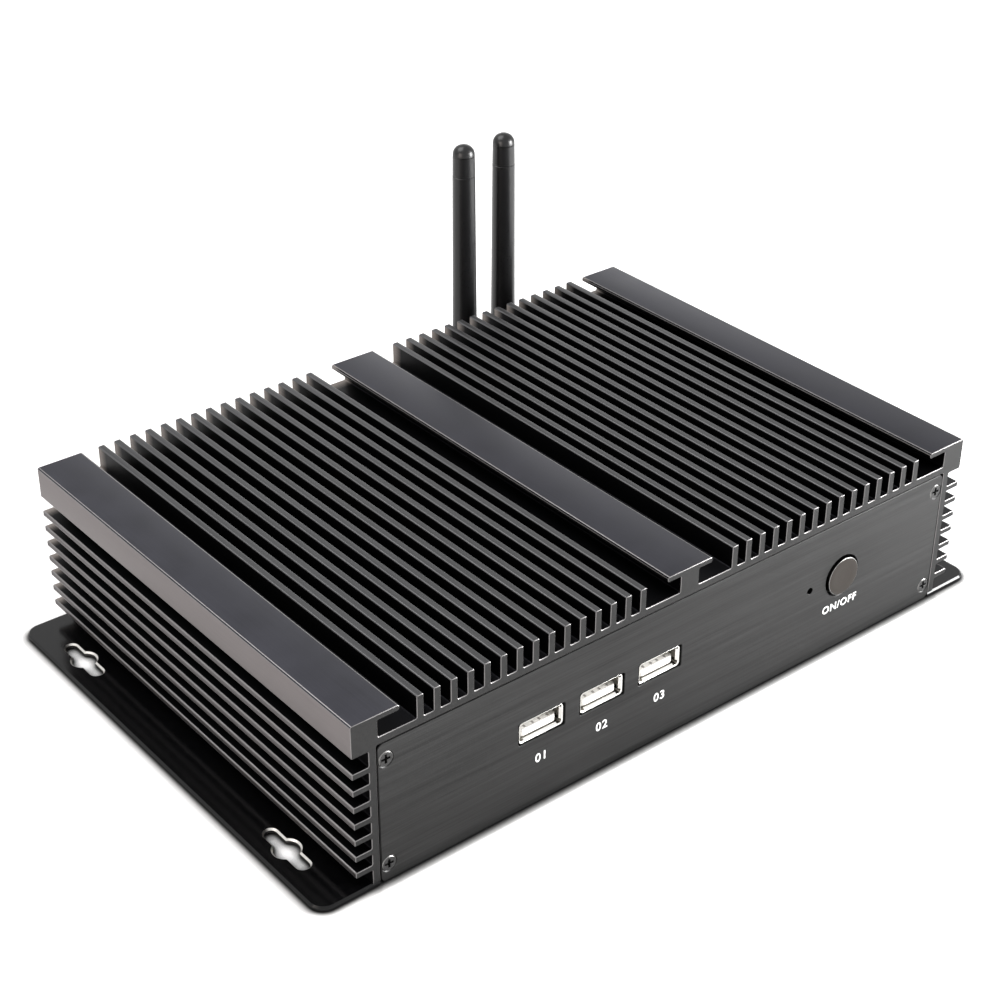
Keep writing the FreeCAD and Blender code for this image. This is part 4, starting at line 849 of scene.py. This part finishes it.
@dataclass
class PanelScrews(Layout):
    """The countersunk screws at the corners of both plates, with crossed recesses."""

    sunk: float = 0.04
    head: float = 4.2
    head_depth: float = 1.1
    rim: float = 0.32
    shank: float = 2.3
    length: float = 7.8
    arm: float = 1.2
    web: float = 0.32

    def cross(self) -> Loop:
        """The crossed recess, anticlockwise about its own centre."""
        arm, web = self.arm, self.web
        quarter = [(web, -arm), (web, -web), (arm, -web)]
        turns = [(1, 0, 0, 1), (0, -1, 1, 0), (-1, 0, 0, -1), (0, 1, -1, 0)]
        return [(a * x + b * y, c * x + d * y) for a, b, c, d in turns for x, y in quarter]

    def build(self) -> None:
        """Makes all eight screws as one piece."""
        screws = Shape()
        for facing, y in ((Facing.FRONT, self.sunk - self.end), (Facing.REAR, self.end - self.sunk)):
            for x in (-self.screw_x, self.screw_x):
                for z in self.screw_z:
                    recess = Hole(self.cross(), self.head_depth * 0.8, flare=0.04, paint=1)
                    screws.block(facing, (x, y, z), circle(0, 0, self.head, 40), self.head_depth, [recess],
                                 edge=self.rim, edge_paint=2)
                    half = self.shank / 2
                    profile = [(0, -self.length), (half * 0.8, -self.length), (half, 0.4 - self.length),
                               (half, -self.head_depth), (0, -self.head_depth)]
                    screws.lathe(facing, (x, y, z), profile, 24)
        screws.piece("corner_screws", (BLACK_ZINC, DRIVE_RECESS_PAINTED_SHADE, WORN_RIM_AND_PAINTED_HIGHLIGHT), "case", "dark_screw",
                     ("panel_screws",))


@dataclass
class BaseSheet(Layout):
    """The sheet under the case, with an ear and two keyhole slots on each side."""

    ear: float = 108.7
    inner: float = 92.0
    back: float = 67.25
    corner: float = 4.0
    thickness: float = 1.5
    slot_x: float = 102.5
    slot_y: float = 47.0
    slot_width: float = 3.2
    slot_length: float = 16.6
    slot_middle: float = 6.4
    hole_x: float = 86.0
    hole_y: float = 52.0
    hole_width: float = 3.0
    countersink: float = 1.35
    edge: float = 0.42

    def slot(self) -> Loop:
        """A slot with a round middle, anticlockwise about its own centre."""
        half, radius = self.slot_width / 2, self.slot_middle / 2
        reach = self.slot_length / 2 - half
        lean = math.degrees(math.acos(half / radius))
        return (arc(0, -reach, half, 180, 360, 10) + arc(0, 0, radius, -lean, lean, 12)
                + arc(0, reach, half, 0, 180, 10) + arc(0, 0, radius, 180 - lean, 180 + lean, 12))

    def build(self) -> None:
        """Cuts the sheet and dresses it."""
        right = [(self.inner, -self.back), (self.inner, -self.end), (self.ear, -self.end, self.corner),
                 (self.ear, self.end, self.corner), (self.inner, self.end), (self.inner, self.back)]
        left = [(-corner[0], *corner[1:]) for corner in reversed(right)]
        holes = [Hole(shifted(self.slot(), side * self.slot_x, row * self.slot_y), paint=2, edge_paint=1,
                      flare=self.edge) for side in (1, -1) for row in (1, -1)]
        holes += [Hole(circle(side * self.hole_x, row, self.hole_width, 24), flare=self.countersink)
                  for side in (1, -1) for row in (-self.hole_y, 0.0, self.hole_y)]
        sheet = Shape().block(Facing.DOWN, (0, 0, 0), rounded(right + left, steps=8), self.thickness, holes,
                              edge=self.edge)
        sheet.piece("base_sheet", (POWDER_COAT, PUNCHED_EDGE_AND_PAINTED_HIGHLIGHT, PUNCHED_WALL_PAINTED_SHADE), "case", "base_sheet",
                    ("base_plate",))


@dataclass
class HostPorts(Layout):
    """The rectangular host ports: folded shells, springs, white tongues and contacts."""

    width: float = 13.1
    height: float = 5.7
    depth: float = 14.0
    wall: float = 0.3
    corner: float = 0.8
    stack: float = 15.6
    tongue_width: float = 11.1
    tongue_thickness: float = 1.9
    tongue_low: float = 0.8
    tongue_front: float = 1.0
    tongue_round: float = 1.3
    lip_depth: float = 0.8
    lip_rise: float = 0.62

    def shell(self, levels: Sequence[float], height: float) -> Shape:
        """The folded shell with a mouth at each level, flared lips and leaf springs in it."""
        half, wall = self.width / 2, self.wall
        mouths = [Hole(rectangle(wall - half, half - wall, low + wall, low + self.height - wall, 0.5),
                       self.depth - 0.35, flare=0.24, edge_paint=1) for low in levels]
        shape = Shape().block(Facing.FRONT, (0, 0, 0), rectangle(-half, half, 0, height, self.corner),
                              self.depth, mouths, edge=0.03, edge_paint=1)
        for low in levels:
            self.lips(shape, low)
            for x in (-3.4, 3.4):
                for ground, lift in ((low + wall, 1), (low + self.height - wall, -1)):
                    if lift == 1 or ground > low + 4:
                        self.spring(shape, x, ground, 0.42 * lift)
        return shape

    def lips(self, shape: Shape, low: float) -> None:
        """Bends a lip inwards along each side of a mouth, as a lead-in for the plug.

        Args:
            shape: the shell that they are added to.
            low: the height of the mouth's own underside.
        """
        half, depth, rise = self.width / 2, self.lip_depth, self.lip_rise
        section = [(0.12, 0.15), (0.12, depth + 0.3), (rise, depth), (0.23, 0.15)]
        floor = [(y, low + up) for up, y in section]
        roof = [(y, low + self.height - up) for up, y in reversed(section)]
        for loop in (floor, roof):
            shape.block(Facing.RIGHT, (5.0, 0, 0), loop, 10.0, edge=0.03, paint=1)
        right = [(half - across, y) for across, y in section]
        left = [(across - half, y) for across, y in reversed(section)]
        for loop in (right, left):
            shape.block(Facing.UP, (0, 0, low + 4.6), loop, 3.4, edge=0.03, paint=1)

    def spring(self, shape: Shape, x: float, ground: float, lift: float) -> None:
        """A leaf spring arched out of the shell's floor or roof."""
        path = [(1.2, 0.0), (3.2, 0.75), (4.4, 1.0), (5.6, 0.8), (8.0, 0.0)]
        low = [(y, ground + lift * (share - 0.2)) for y, share in path]
        high = [(y, ground + lift * share) for y, share in reversed(path)]
        loop = low + high
        if lift < 0:
            loop = loop[::-1]
        shape.block(Facing.RIGHT, (x + 1.3, 0, 0), loop, 2.6, edge=0.02)

    def tongues(self, levels: Sequence[float]) -> Shape:
        """The white insulators, each tongue with four contact strips and four grey patches of painted slot shade on
        its upper face.
        """
        shape = Shape()
        half, front, turn = self.tongue_width / 2, self.tongue_front, self.tongue_round
        for low in levels:
            shape.block(Facing.FRONT, (0, 11.45, 0), rectangle(-6.2, 6.2, low + 0.35, low + 5.35, 0.5), 2.2)
            top = low + self.tongue_low + self.tongue_thickness
            plan = rounded([(-half, front, turn), (half, front, turn), (half, 12.5), (-half, 12.5)], 8)
            shape.block(Facing.UP, (0, 0, top), plan, self.tongue_thickness, edge=0.2)
            for x in (-3.5, -1.0, 1.0, 3.5):
                # Each slot is a thin grey patch laid on the tongue's top: painted shade of a slot.
                slot = rectangle(x - 0.3, x + 0.3, front + 0.6, front + 1.5, 0.1)
                shape.block(Facing.UP, (0, 0, top + 0.02), slot, 0.1, edge=0.01, paint=2)
                strip = rectangle(x - 0.5, x + 0.5, front + 2.6, 11.4, 0.05)
                shape.block(Facing.UP, (0, 0, top + 0.06), strip, 0.16, edge=0.03, paint=1)
        return shape

    def build(self) -> None:
        """Makes the three front ports and the two stacked pairs at the rear."""
        for end, places, y, levels, height in (
                ("front", self.front_port_x, -self.face, (0.0,), self.height),
                ("rear", self.rear_port_x, self.face, (0.0, self.stack - self.height), self.stack)):
            for number, x in enumerate(places, start=1):
                for shape, part, finishes, slot in (
                        (self.shell(levels, height), "shell", (NICKEL_STEEL, LIP_PAINTED_HIGHLIGHT), "plated_shell"),
                        (self.tongues(levels), "tongue", (WHITE_NYLON, GOLD_CONTACT, NYLON_SLOT_PAINTED_SHADE),
                         "port_insulator")):
                    shape.moved(x, y, self.seat, end == "rear").piece(
                        f"{end}_host_{part}_{number}", finishes, "case", slot,
                        (f"{end}_port_{part}_{number}",))


@dataclass
class RearConnectors(Layout):
    """Network jacks, video port, audio jacks and the inlet for power."""

    def put(self, shape: Shape, x: float, name: str, finishes: Sequence[Finish], slot: str,
            node: str) -> None:
        """Turns a shape to the rear, puts it in its place and makes its piece."""
        shape.moved(x, self.face, self.seat, True).piece(name, finishes, "case", slot, (node,))

    def network_jack(self, number: int, x: float) -> None:
        """A shielded jack with a black liner, eight gold wires and two lamp windows."""
        half, latch, floor, step, high = 5.95, 3.0, 2.6, 4.2, 11.1
        mouth = [(-latch, floor), (latch, floor), (latch, step), (half, step), (half, high), (-half, high),
                 (-half, step), (-latch, step)]
        lamps = [Hole(rectangle(side * 5.6 - 1.15, side * 5.6 + 1.15, 1.1, 2.9, 0.2), 0.5, flare=0.05,
                      paint=paint) for paint, side in ((3, -1), (4, 1))]
        shape = Shape().block(Facing.FRONT, (0, 0, 0), rectangle(-7.95, 7.95, 0, 13.4, 0.4), 21.0,
                              [Hole(mouth, 13.0, flare=0.15, paint=1, edge_paint=0)] + lamps, edge=0.15)
        wire = [(8.4, 7.75), (12.8, 7.45), (12.8, 7.7), (8.6, 8.0), (3.5, high), (3.2, high)]
        for number_across in range(8):
            across = (number_across - 3.5) * 1.02
            shape.block(Facing.RIGHT, (across + 0.2, 0, 0), wire, 0.4, edge=0.04, paint=2)
        self.put(shape, x, f"network_socket_{number}",
                 (NICKEL_STEEL, BLACK_NYLON, GOLD_CONTACT, AMBER_WINDOW, GREEN_WINDOW), "plated_shell",
                 f"network_jack_{number}")

    def video_outline(self, drawn_in: float) -> Loop:
        """The video port's outline, with both lower corners cut off."""
        half, low, high, taper = 7.5 - drawn_in, drawn_in, 6.0 - drawn_in, 2.0
        return rounded([(-half + taper, low, 0.5), (half - taper, low, 0.5), (half, low + taper, 0.5),
                        (half, high, 0.5), (-half, high, 0.5), (-half, low + taper, 0.5)])

    def video_port(self) -> None:
        """The shell and the tongue with its rows of contacts."""
        shell = Shape().block(Facing.FRONT, (0, 0, 0), self.video_outline(0), 11.5,
                              [Hole(self.video_outline(0.3), 11.2, flare=0.14)], edge=0.12)
        self.put(shell, self.video_x, "video_shell", (NICKEL_STEEL,), "plated_shell", "video_port_shell")
        tongue = Shape().block(Facing.FRONT, (0, 8.95, 0), self.video_outline(0.36), 2.2)
        tongue.block(Facing.FRONT, (0, 1.0, 0), rectangle(-5.6, 5.6, 2.4, 3.6, 0.2), 9.0, edge=0.15)
        for row, count in ((3.56, 10), (2.34, 9)):
            for contact in range(count):
                across = contact - (count - 1) / 2
                strip = rectangle(across - 0.22, across + 0.22, row, row + 0.1)
                tongue.block(Facing.FRONT, (0, 1.5, 0), strip, 7.4, edge=0.02, paint=1)
        self.put(tongue, self.video_x, "video_tongue", (BLACK_NYLON, GOLD_CONTACT), "connector_plastic",
                 "video_port_tongue")

    def audio_jack(self, number: int, x: float) -> None:
        """A round collar with a nickel sleeve in its bore, on a box behind the plate."""
        bore = circle(0, 2.8, 3.6, 32)
        jack = Shape().block(Facing.FRONT, (0, 0, 0), circle(0, 2.8, 5.8, 48), 1.7,
                             [Hole(bore, flare=0.2, paint=1)], edge=0.2)
        jack.block(Facing.FRONT, (0, 1.7, 0), rectangle(-3.5, 3.5, 0, 5.6, 0.3), 11.8,
                   [Hole(bore, 9.3, paint=1)])
        self.put(jack, x, f"audio_socket_{number}", (BLACK_NYLON, NICKEL_STEEL), "connector_plastic",
                 f"audio_jack_{number}")

    def power_inlet(self) -> None:
        """The round inlet behind its window, with a domed pin."""
        inlet = Shape().block(Facing.FRONT, (0, 1.7, 0), rectangle(-4.5, 4.5, 0, 11.0, 0.3), 12.3,
                              [Hole(circle(0, 6.4, 6.4), 8.3, flare=0.25)], edge=0.15)
        self.put(inlet, self.inlet_x, "power_inlet", (BLACK_NYLON,), "connector_plastic", "dc_inlet")
        profile = [(0, 0), (1.05, 0), (1.05, 7.7), (0.9, 8.1), (0.5, 8.28), (0, 8.3)]
        pin = Shape().lathe(Facing.FRONT, (0, 10.0, 6.4), profile, 24)
        self.put(pin, self.inlet_x, "power_inlet_pin", (NICKEL_STEEL,), "plated_shell", "dc_inlet_pin")

    def build(self) -> None:
        """Makes all the rear connectors other than the host ports."""
        for number, x in enumerate(self.network_x, start=1):
            self.network_jack(number, x)
        self.video_port()
        for number, x in enumerate(self.audio_x, start=1):
            self.audio_jack(number, x)
        self.power_inlet()


@dataclass
class PowerButton(Layout):
    """The turned push button at the right of the front plate."""

    radius: float = 5.4
    proud: float = 0.6
    edge: float = 0.3
    dish: float = 0.12

    def build(self) -> None:
        """Turns the cap with a rounded rim, a slight dish and the flange behind the plate."""
        rim = arc(self.radius - self.edge, self.proud - self.edge, self.edge, 0, 90, 6)
        side = [(0, -2.8), (7.1, -2.8), (7.1, -1.8), (self.radius, -1.8)]
        face = [(self.radius * 0.6, self.proud - self.dish * 0.7), (0, self.proud - self.dish)]
        # The flange, the cap's side and the lower rounding get the black painted shade, a band higher up the
        # rounding the pale painted highlight, and the rest the turned face.
        paints = [1] * (len(side) + 3) + [2, 2] + [0] * (len(rim) + len(face) - 6)
        place = (self.button_x, -self.end, self.button_z)
        Shape().lathe(Facing.FRONT, place, side + rim + face, 72, paints=paints).piece(
            "push_button", (TURNED_CAP, CAP_SIDE_PAINTED_SHADE, WORN_RIM_AND_PAINTED_HIGHLIGHT), "button", "button_metal", ("power_button",),
            place)


@dataclass
class Antennas(Layout):
    """Two jointed rods: couplings on the rear sockets, elbows and domed whips."""

    pivot: float = 85.0
    coupling_start: float = 71.3
    coupling_length: float = 6.2
    elbow_start: float = 77.8
    cheek: float = 4.4
    whip_length: float = 80.3

    def coupling(self, number: int, x: float) -> None:
        """A knurled sleeve, open towards the socket."""
        length, place = self.coupling_length, (x, self.coupling_start, self.antenna_z)
        profile = [(3.15, 0), (3.85, 0), (4.35, 0.3), (4.75, 0.7), (4.75, 1.0, 1), (4.75, 4.4, 1),
                   (4.75, 4.7), (4.75, 5.6), (4.45, 6.0), (4.15, length), (2.56, length), (2.56, 4.3),
                   (3.15, 4.3), (3.15, 0)]
        Shape().lathe(Facing.REAR, place, profile, 144, ridges=28, ridge_depth=0.28).piece(
            f"knurled_coupling_{number}", (SATIN_ELASTOMER,), "case", "antenna_plastic",
            (f"antenna_coupling_{number}",), place)

    def elbow(self, number: int, x: float) -> None:
        """A turned disc with a spigot and two cheeks that hold the whip's foot."""
        y, cheek = self.elbow_start, self.cheek
        profile = [(0, -2.2), (2.5, -2.2), (2.5, 0), (4.0, 0), (4.35, 0.12), (4.6, 0.6), (4.6, 2.3),
                   (4.35, 2.75), (4.0, 2.9), (0, 2.9)]
        elbow = Shape().lathe(Facing.REAR, (x, y, self.antenna_z), profile, 64)
        for facing, side in ((Facing.RIGHT, 1), (Facing.LEFT, -1)):
            near, far = sorted((side * (y + 1.5), side * (self.pivot + cheek)))
            soft, round_end = (0.3, 4.1) if side > 0 else (4.1, 0.3)
            loop = rounded([(near, -cheek, soft), (far, -cheek, round_end), (far, cheek, round_end),
                            (near, cheek, soft)], 10)
            elbow.block(facing, (x + side * 4.0, 0, self.antenna_z), loop, 1.78,
                        [Hole(circle(side * self.pivot, 0, 2.0, 24), flare=0.05)], edge=0.3)
        elbow.piece(f"fork_elbow_{number}", (SATIN_ELASTOMER,), f"elbow_{number}", "antenna_plastic",
                    (f"antenna_elbow_{number}",), (x, self.pivot, self.antenna_z))

    def whip(self, number: int, x: float) -> None:
        """A tapered rod with a collar, a ring near its tip, a domed end and a flat foot."""
        shoulder, ring = 77.3, 71.0
        dome = [(3.25 * math.cos(math.radians(angle)), shoulder + 3.0 * math.sin(math.radians(angle)))
                for angle in range(12, 90, 11)]
        profile = [(0, 5.5), (3.5, 5.5), (3.9, 5.65), (4.1, 6.0), (4.1, 7.9), (3.97, 8.3), (3.85, 8.7),
                   (3.6, 35.0), (3.36, ring - 0.3), (3.22, ring - 0.2), (3.22, ring + 0.2),
                   (3.35, ring + 0.3), (3.26, shoulder - 0.5), (3.12, shoulder - 0.42), (3.12, shoulder - 0.18),
                   (3.25, shoulder - 0.1), *dome, (0, self.whip_length)]
        place = (x, self.pivot, self.antenna_z)
        whip = Shape().lathe(Facing.UP, place, profile, 56)
        foot = rounded([(-4, -4, 3.9), (4, -4, 3.9), (4, 6.1, 0.1), (-4, 6.1, 0.1)], 10)
        whip.block(Facing.RIGHT, (x + 2.1, self.pivot, self.antenna_z), foot, 4.2,
                   [Hole(circle(0, 0, 2.1, 24), flare=0.1)], edge=0.25)
        whip.piece(f"rod_whip_{number}", (SATIN_ELASTOMER,), f"whip_{number}", "antenna_plastic",
                   (f"antenna_whip_{number}",), place)

    def build(self) -> None:
        """Makes both antennas."""
        for number, x in enumerate(self.antenna_x, start=1):
            self.coupling(number, x)
            self.elbow(number, x)
            self.whip(number, x)
            dress_node(f"antenna_pin_{number}", BRIGHT_ZINC, 0.15)
            dress_node(f"antenna_socket_{number}", GOLD_BRASS, 0.15)
        dress_node("antenna_socket_nuts", GOLD_BRASS, 0.2)


@dataclass
class Lettering:
    """Plain numbers under the host ports and a switch mark under the button, in printed ink."""

    y: float = -69.0
    thickness: float = 0.02
    port_x: Spot = (-45.5, -26.8, -8.2)
    port_z: float = 13.5
    port_height: float = 2.5
    button_place: Flat = (55.35, 13.6)
    button_height: float = 2.3
    boldness: float = 0.05
    letter_space: float = 1.16
    capital_share: float = 0.73

    def word(self, name: str, words: str, x: float, z: float, height: float) -> None:
        """Prints one mark, centred on a spot of the front plate.

        Args:
            name: the piece's name.
            words: what it says.
            x: the middle of it.
            z: the middle of it.
            height: the height of its capitals.
        """
        curve = bpy.data.curves.new(name, "FONT")
        curve.body = words
        curve.align_x, curve.align_y = "CENTER", "CENTER"
        curve.size = height / self.capital_share * MM
        curve.extrude = self.thickness * MM
        curve.offset = self.boldness * MM
        curve.space_character = self.letter_space
        maker = bpy.data.objects.new(name + "_curve", curve)
        bpy.context.scene.collection.objects.link(maker)
        bpy.context.view_layer.update()
        mesh = bpy.data.meshes.new_from_object(maker.evaluated_get(bpy.context.evaluated_depsgraph_get()))
        bpy.data.objects.remove(maker)
        mesh.transform(Matrix.Translation(Vector((x, self.y, z)) * MM) @ Matrix.Rotation(math.pi / 2, 4, "X"))
        mesh.materials.clear()
        mesh.materials.append(PRINT_INK.material())
        made = bpy.data.objects.new(name, mesh)
        bpy.context.scene.collection.objects.link(made)
        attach(made, "case")
        log.info("%s: printed", name)

    def build(self) -> None:
        """Prints all the marks."""
        for number, x in enumerate(self.port_x, start=1):
            self.word(f"port_mark_{number}", f"0{number}", x, self.port_z, self.port_height)
        self.word("button_mark", "ON/OFF", *self.button_place, self.button_height)


@dataclass
class InnerWorks:
    """Boards, sockets and leads inside the case, and the small fasteners."""

    finishes: dict[str, Finish] = field(default_factory=lambda: {
        "base_screws": BLACK_ZINC, "mainboard": LAMINATE, "board_standoffs": BRIGHT_ZINC,
        "mainboard_screws": BRIGHT_ZINC, "processor": EPOXY_PACKAGE, "heat_transfer_block": MILLED_ALUMINIUM,
        "block_screws": BRIGHT_ZINC, "thermal_pad": SILICONE, "memory_socket": BLACK_NYLON,
        "memory_module": LAMINATE, "storage_card_socket": BLACK_NYLON, "storage_card": LAMINATE,
        "wireless_card_socket": BLACK_NYLON, "wireless_card": LAMINATE, "clock_battery": NICKEL_STEEL,
        "switch_board": LAMINATE, "switch_board_posts": BRIGHT_ZINC, "switch_board_screws": BRIGHT_ZINC,
        "power_switch": BLACK_NYLON, "switch_plunger": BLACK_NYLON, "indicator_led": SMOKED_ACRYLIC})
    leads: tuple[str, ...] = ("antenna_lead_1", "antenna_lead_2", "switch_lead")

    def build(self) -> None:
        """Dresses every carried-over node."""
        for name, finish in self.finishes.items():
            dress_node(name, finish)
        for name in self.leads:
            dress_node(name, CABLE_SHEATH, 0.0)


# The room


@dataclass
class SoftBox:
    """One square studio lamp that looks at the object."""

    name: str
    place: Spot
    width: float
    power: float
    colour: str = "#ffffff"
    target: Spot = (0, 0, 20)

    def build(self) -> None:
        """Hangs the lamp."""
        lamp = bpy.data.lights.new(self.name, "AREA")
        lamp.shape = "SQUARE"
        lamp.size = self.width * MM
        lamp.energy = self.power
        lamp.color = linear(self.colour)[:3]
        hung = bpy.data.objects.new(self.name, lamp)
        hung.location = Vector(self.place) * MM
        hung.rotation_euler = (Vector(self.target) - Vector(self.place)).to_track_quat("-Z", "Y").to_euler()
        hung.visible_camera = False
        bpy.context.scene.collection.objects.link(hung)


@dataclass
class Studio:
    """A pale floor, a white surround, soft boxes and the camera."""

    floor_half: float = 3000.0
    ambient: float = 0.35
    floor_glow: float = 0.3
    far_glow: float = 0.68
    fade_from: float = 400.0
    fade_to: float = 1600.0
    floor_rise: float = 0.02
    # The painted contact shadow: how far a gap darkens the floor under the object, how steeply and to what.
    contact: float = 2.5
    contact_power: float = 5.0
    contact_shade: str = "#1c1c1c"
    paper_clouds: float = 40.0
    lens: float = 72.486
    camera_place: Spot = (-285.814, -349.805, 308.072)
    forward: Spot = (0.538028, 0.663666, -0.519685)
    right: Spot = (0.778118, -0.628109, 0.003453)
    lamps: tuple[SoftBox, ...] = (
        SoftBox("top_box", (-250, 350, 900), 700, 7.0),
        SoftBox("left_box", (-900, -150, 300), 600, 4.5, "#fff2ea"),
        SoftBox("right_front_box", (540, -430, 172), 340, 14.0, "#ffffff", (95, -69, 20)),
        SoftBox("right_rear_box", (605, 775, 213), 500, 0.9, "#ffffff", (40, 30, 45)),
    )

    def seen(self, tree: Tree) -> Socket:
        """1 for what the camera sees directly, in a reflection or through glass; else 0."""
        path = add_node(tree, "ShaderNodeLightPath", {}).outputs
        shiny = combine(tree, "MAXIMUM", path["Is Camera Ray"], path["Is Glossy Ray"])
        return combine(tree, "MAXIMUM", shiny, path["Is Transmission Ray"])

    def surround(self) -> None:
        """White where it is seen, and a plain soft light elsewhere."""
        world = bpy.data.worlds.new("white_surround")
        world.use_nodes = True
        tree = world.node_tree
        tree.nodes.clear()
        level = remap(tree, self.seen(tree), 0, 1, self.ambient, 1)
        glow = add_node(tree, "ShaderNodeBackground", {"Color": (1, 1, 1, 1), "Strength": level})
        add_node(tree, "ShaderNodeOutputWorld", {"Surface": glow.outputs["Background"]})
        bpy.context.scene.world = world

    def floor(self) -> None:
        """A flat floor of matt white paper that keeps the object's shadow."""
        paint = bpy.data.materials.new("white_paper_sweep")
        paint.use_nodes = True
        tree = paint.node_tree
        tree.nodes.clear()
        place = add_node(tree, "ShaderNodeTexCoord", {}).outputs["Object"]
        paper = tint(tree, clouds(tree, place, self.paper_clouds), linear("#f3f3f3"), linear("#f7f7f7"))
        # The floor's colour and glow are darkened near the object: a painted contact shadow.
        gap = add_node(tree, "ShaderNodeAmbientOcclusion", {"Distance": self.contact * MM}, samples=8)
        openness = combine(tree, "POWER", gap.outputs["AO"], self.contact_power)
        shaded = tint(tree, openness, linear(self.contact_shade), paper)
        matt = add_node(tree, "ShaderNodeBsdfDiffuse", {"Color": shaded})
        # The lamps fade with distance, so the glow grows with it to keep the far floor pale.
        reach = add_node(tree, "ShaderNodeVectorMath", {0: place}, operation="LENGTH").outputs["Value"]
        spread = remap(tree, reach, self.fade_from * MM, self.fade_to * MM, self.floor_glow, self.far_glow)
        level = combine(tree, "MULTIPLY", self.seen(tree), spread)
        glow = add_node(tree, "ShaderNodeEmission", {"Strength": combine(tree, "MULTIPLY", level, openness)})
        both = add_node(tree, "ShaderNodeAddShader", {0: matt.outputs[0], 1: glow.outputs[0]})
        add_node(tree, "ShaderNodeOutputMaterial", {"Surface": both.outputs[0]})
        # A hair above zero, so that it doesn't fight with the base sheet's underside for one plane.
        half, rise = self.floor_half * MM, self.floor_rise * MM
        corners = [(-half, -half, rise), (half, -half, rise), (half, half, rise), (-half, half, rise)]
        mesh = bpy.data.meshes.new("floor")
        mesh.from_pydata(corners, [], [(0, 1, 2, 3)])
        mesh.materials.append(paint)
        made = bpy.data.objects.new("floor", mesh)
        bpy.context.scene.collection.objects.link(made)
        made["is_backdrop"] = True

    def camera(self) -> None:
        """The camera at the photograph's own place."""
        lens = bpy.data.cameras.new("photo_camera")
        lens.lens = self.lens
        lens.sensor_width = 36.0
        lens.clip_start, lens.clip_end = 0.01, 20.0
        made = bpy.data.objects.new("photo_camera", lens)
        across, back = Vector(self.right), -Vector(self.forward)
        axes = Matrix((across, back.cross(across), back)).transposed().to_4x4()
        made.matrix_world = Matrix.Translation(Vector(self.camera_place) * MM) @ axes
        bpy.context.scene.collection.objects.link(made)
        bpy.context.scene.camera = made

    def build(self) -> None:
        """Sets the room up."""
        self.camera()
        self.surround()
        self.floor()
        for lamp in self.lamps:
            lamp.build()
        bpy.context.scene.view_settings.view_transform = "Standard"


def main() -> None:
    """Builds and dresses everything."""
    logging.basicConfig(level=logging.INFO, format="%(message)s")
    for part in (Studio(), FinnedCase(), EndPlates(), PanelScrews(), BaseSheet(), HostPorts(),
                 RearConnectors(), PowerButton(), Antennas(), Lettering(), InnerWorks()):
        log.info("building %s", type(part).__name__)
        part.build()
    boxes = {name: [list(corner) for corner in box] for name, box in (("cad", CAD_BOX), ("visual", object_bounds()))}


if __name__ == "__main__":
    main()
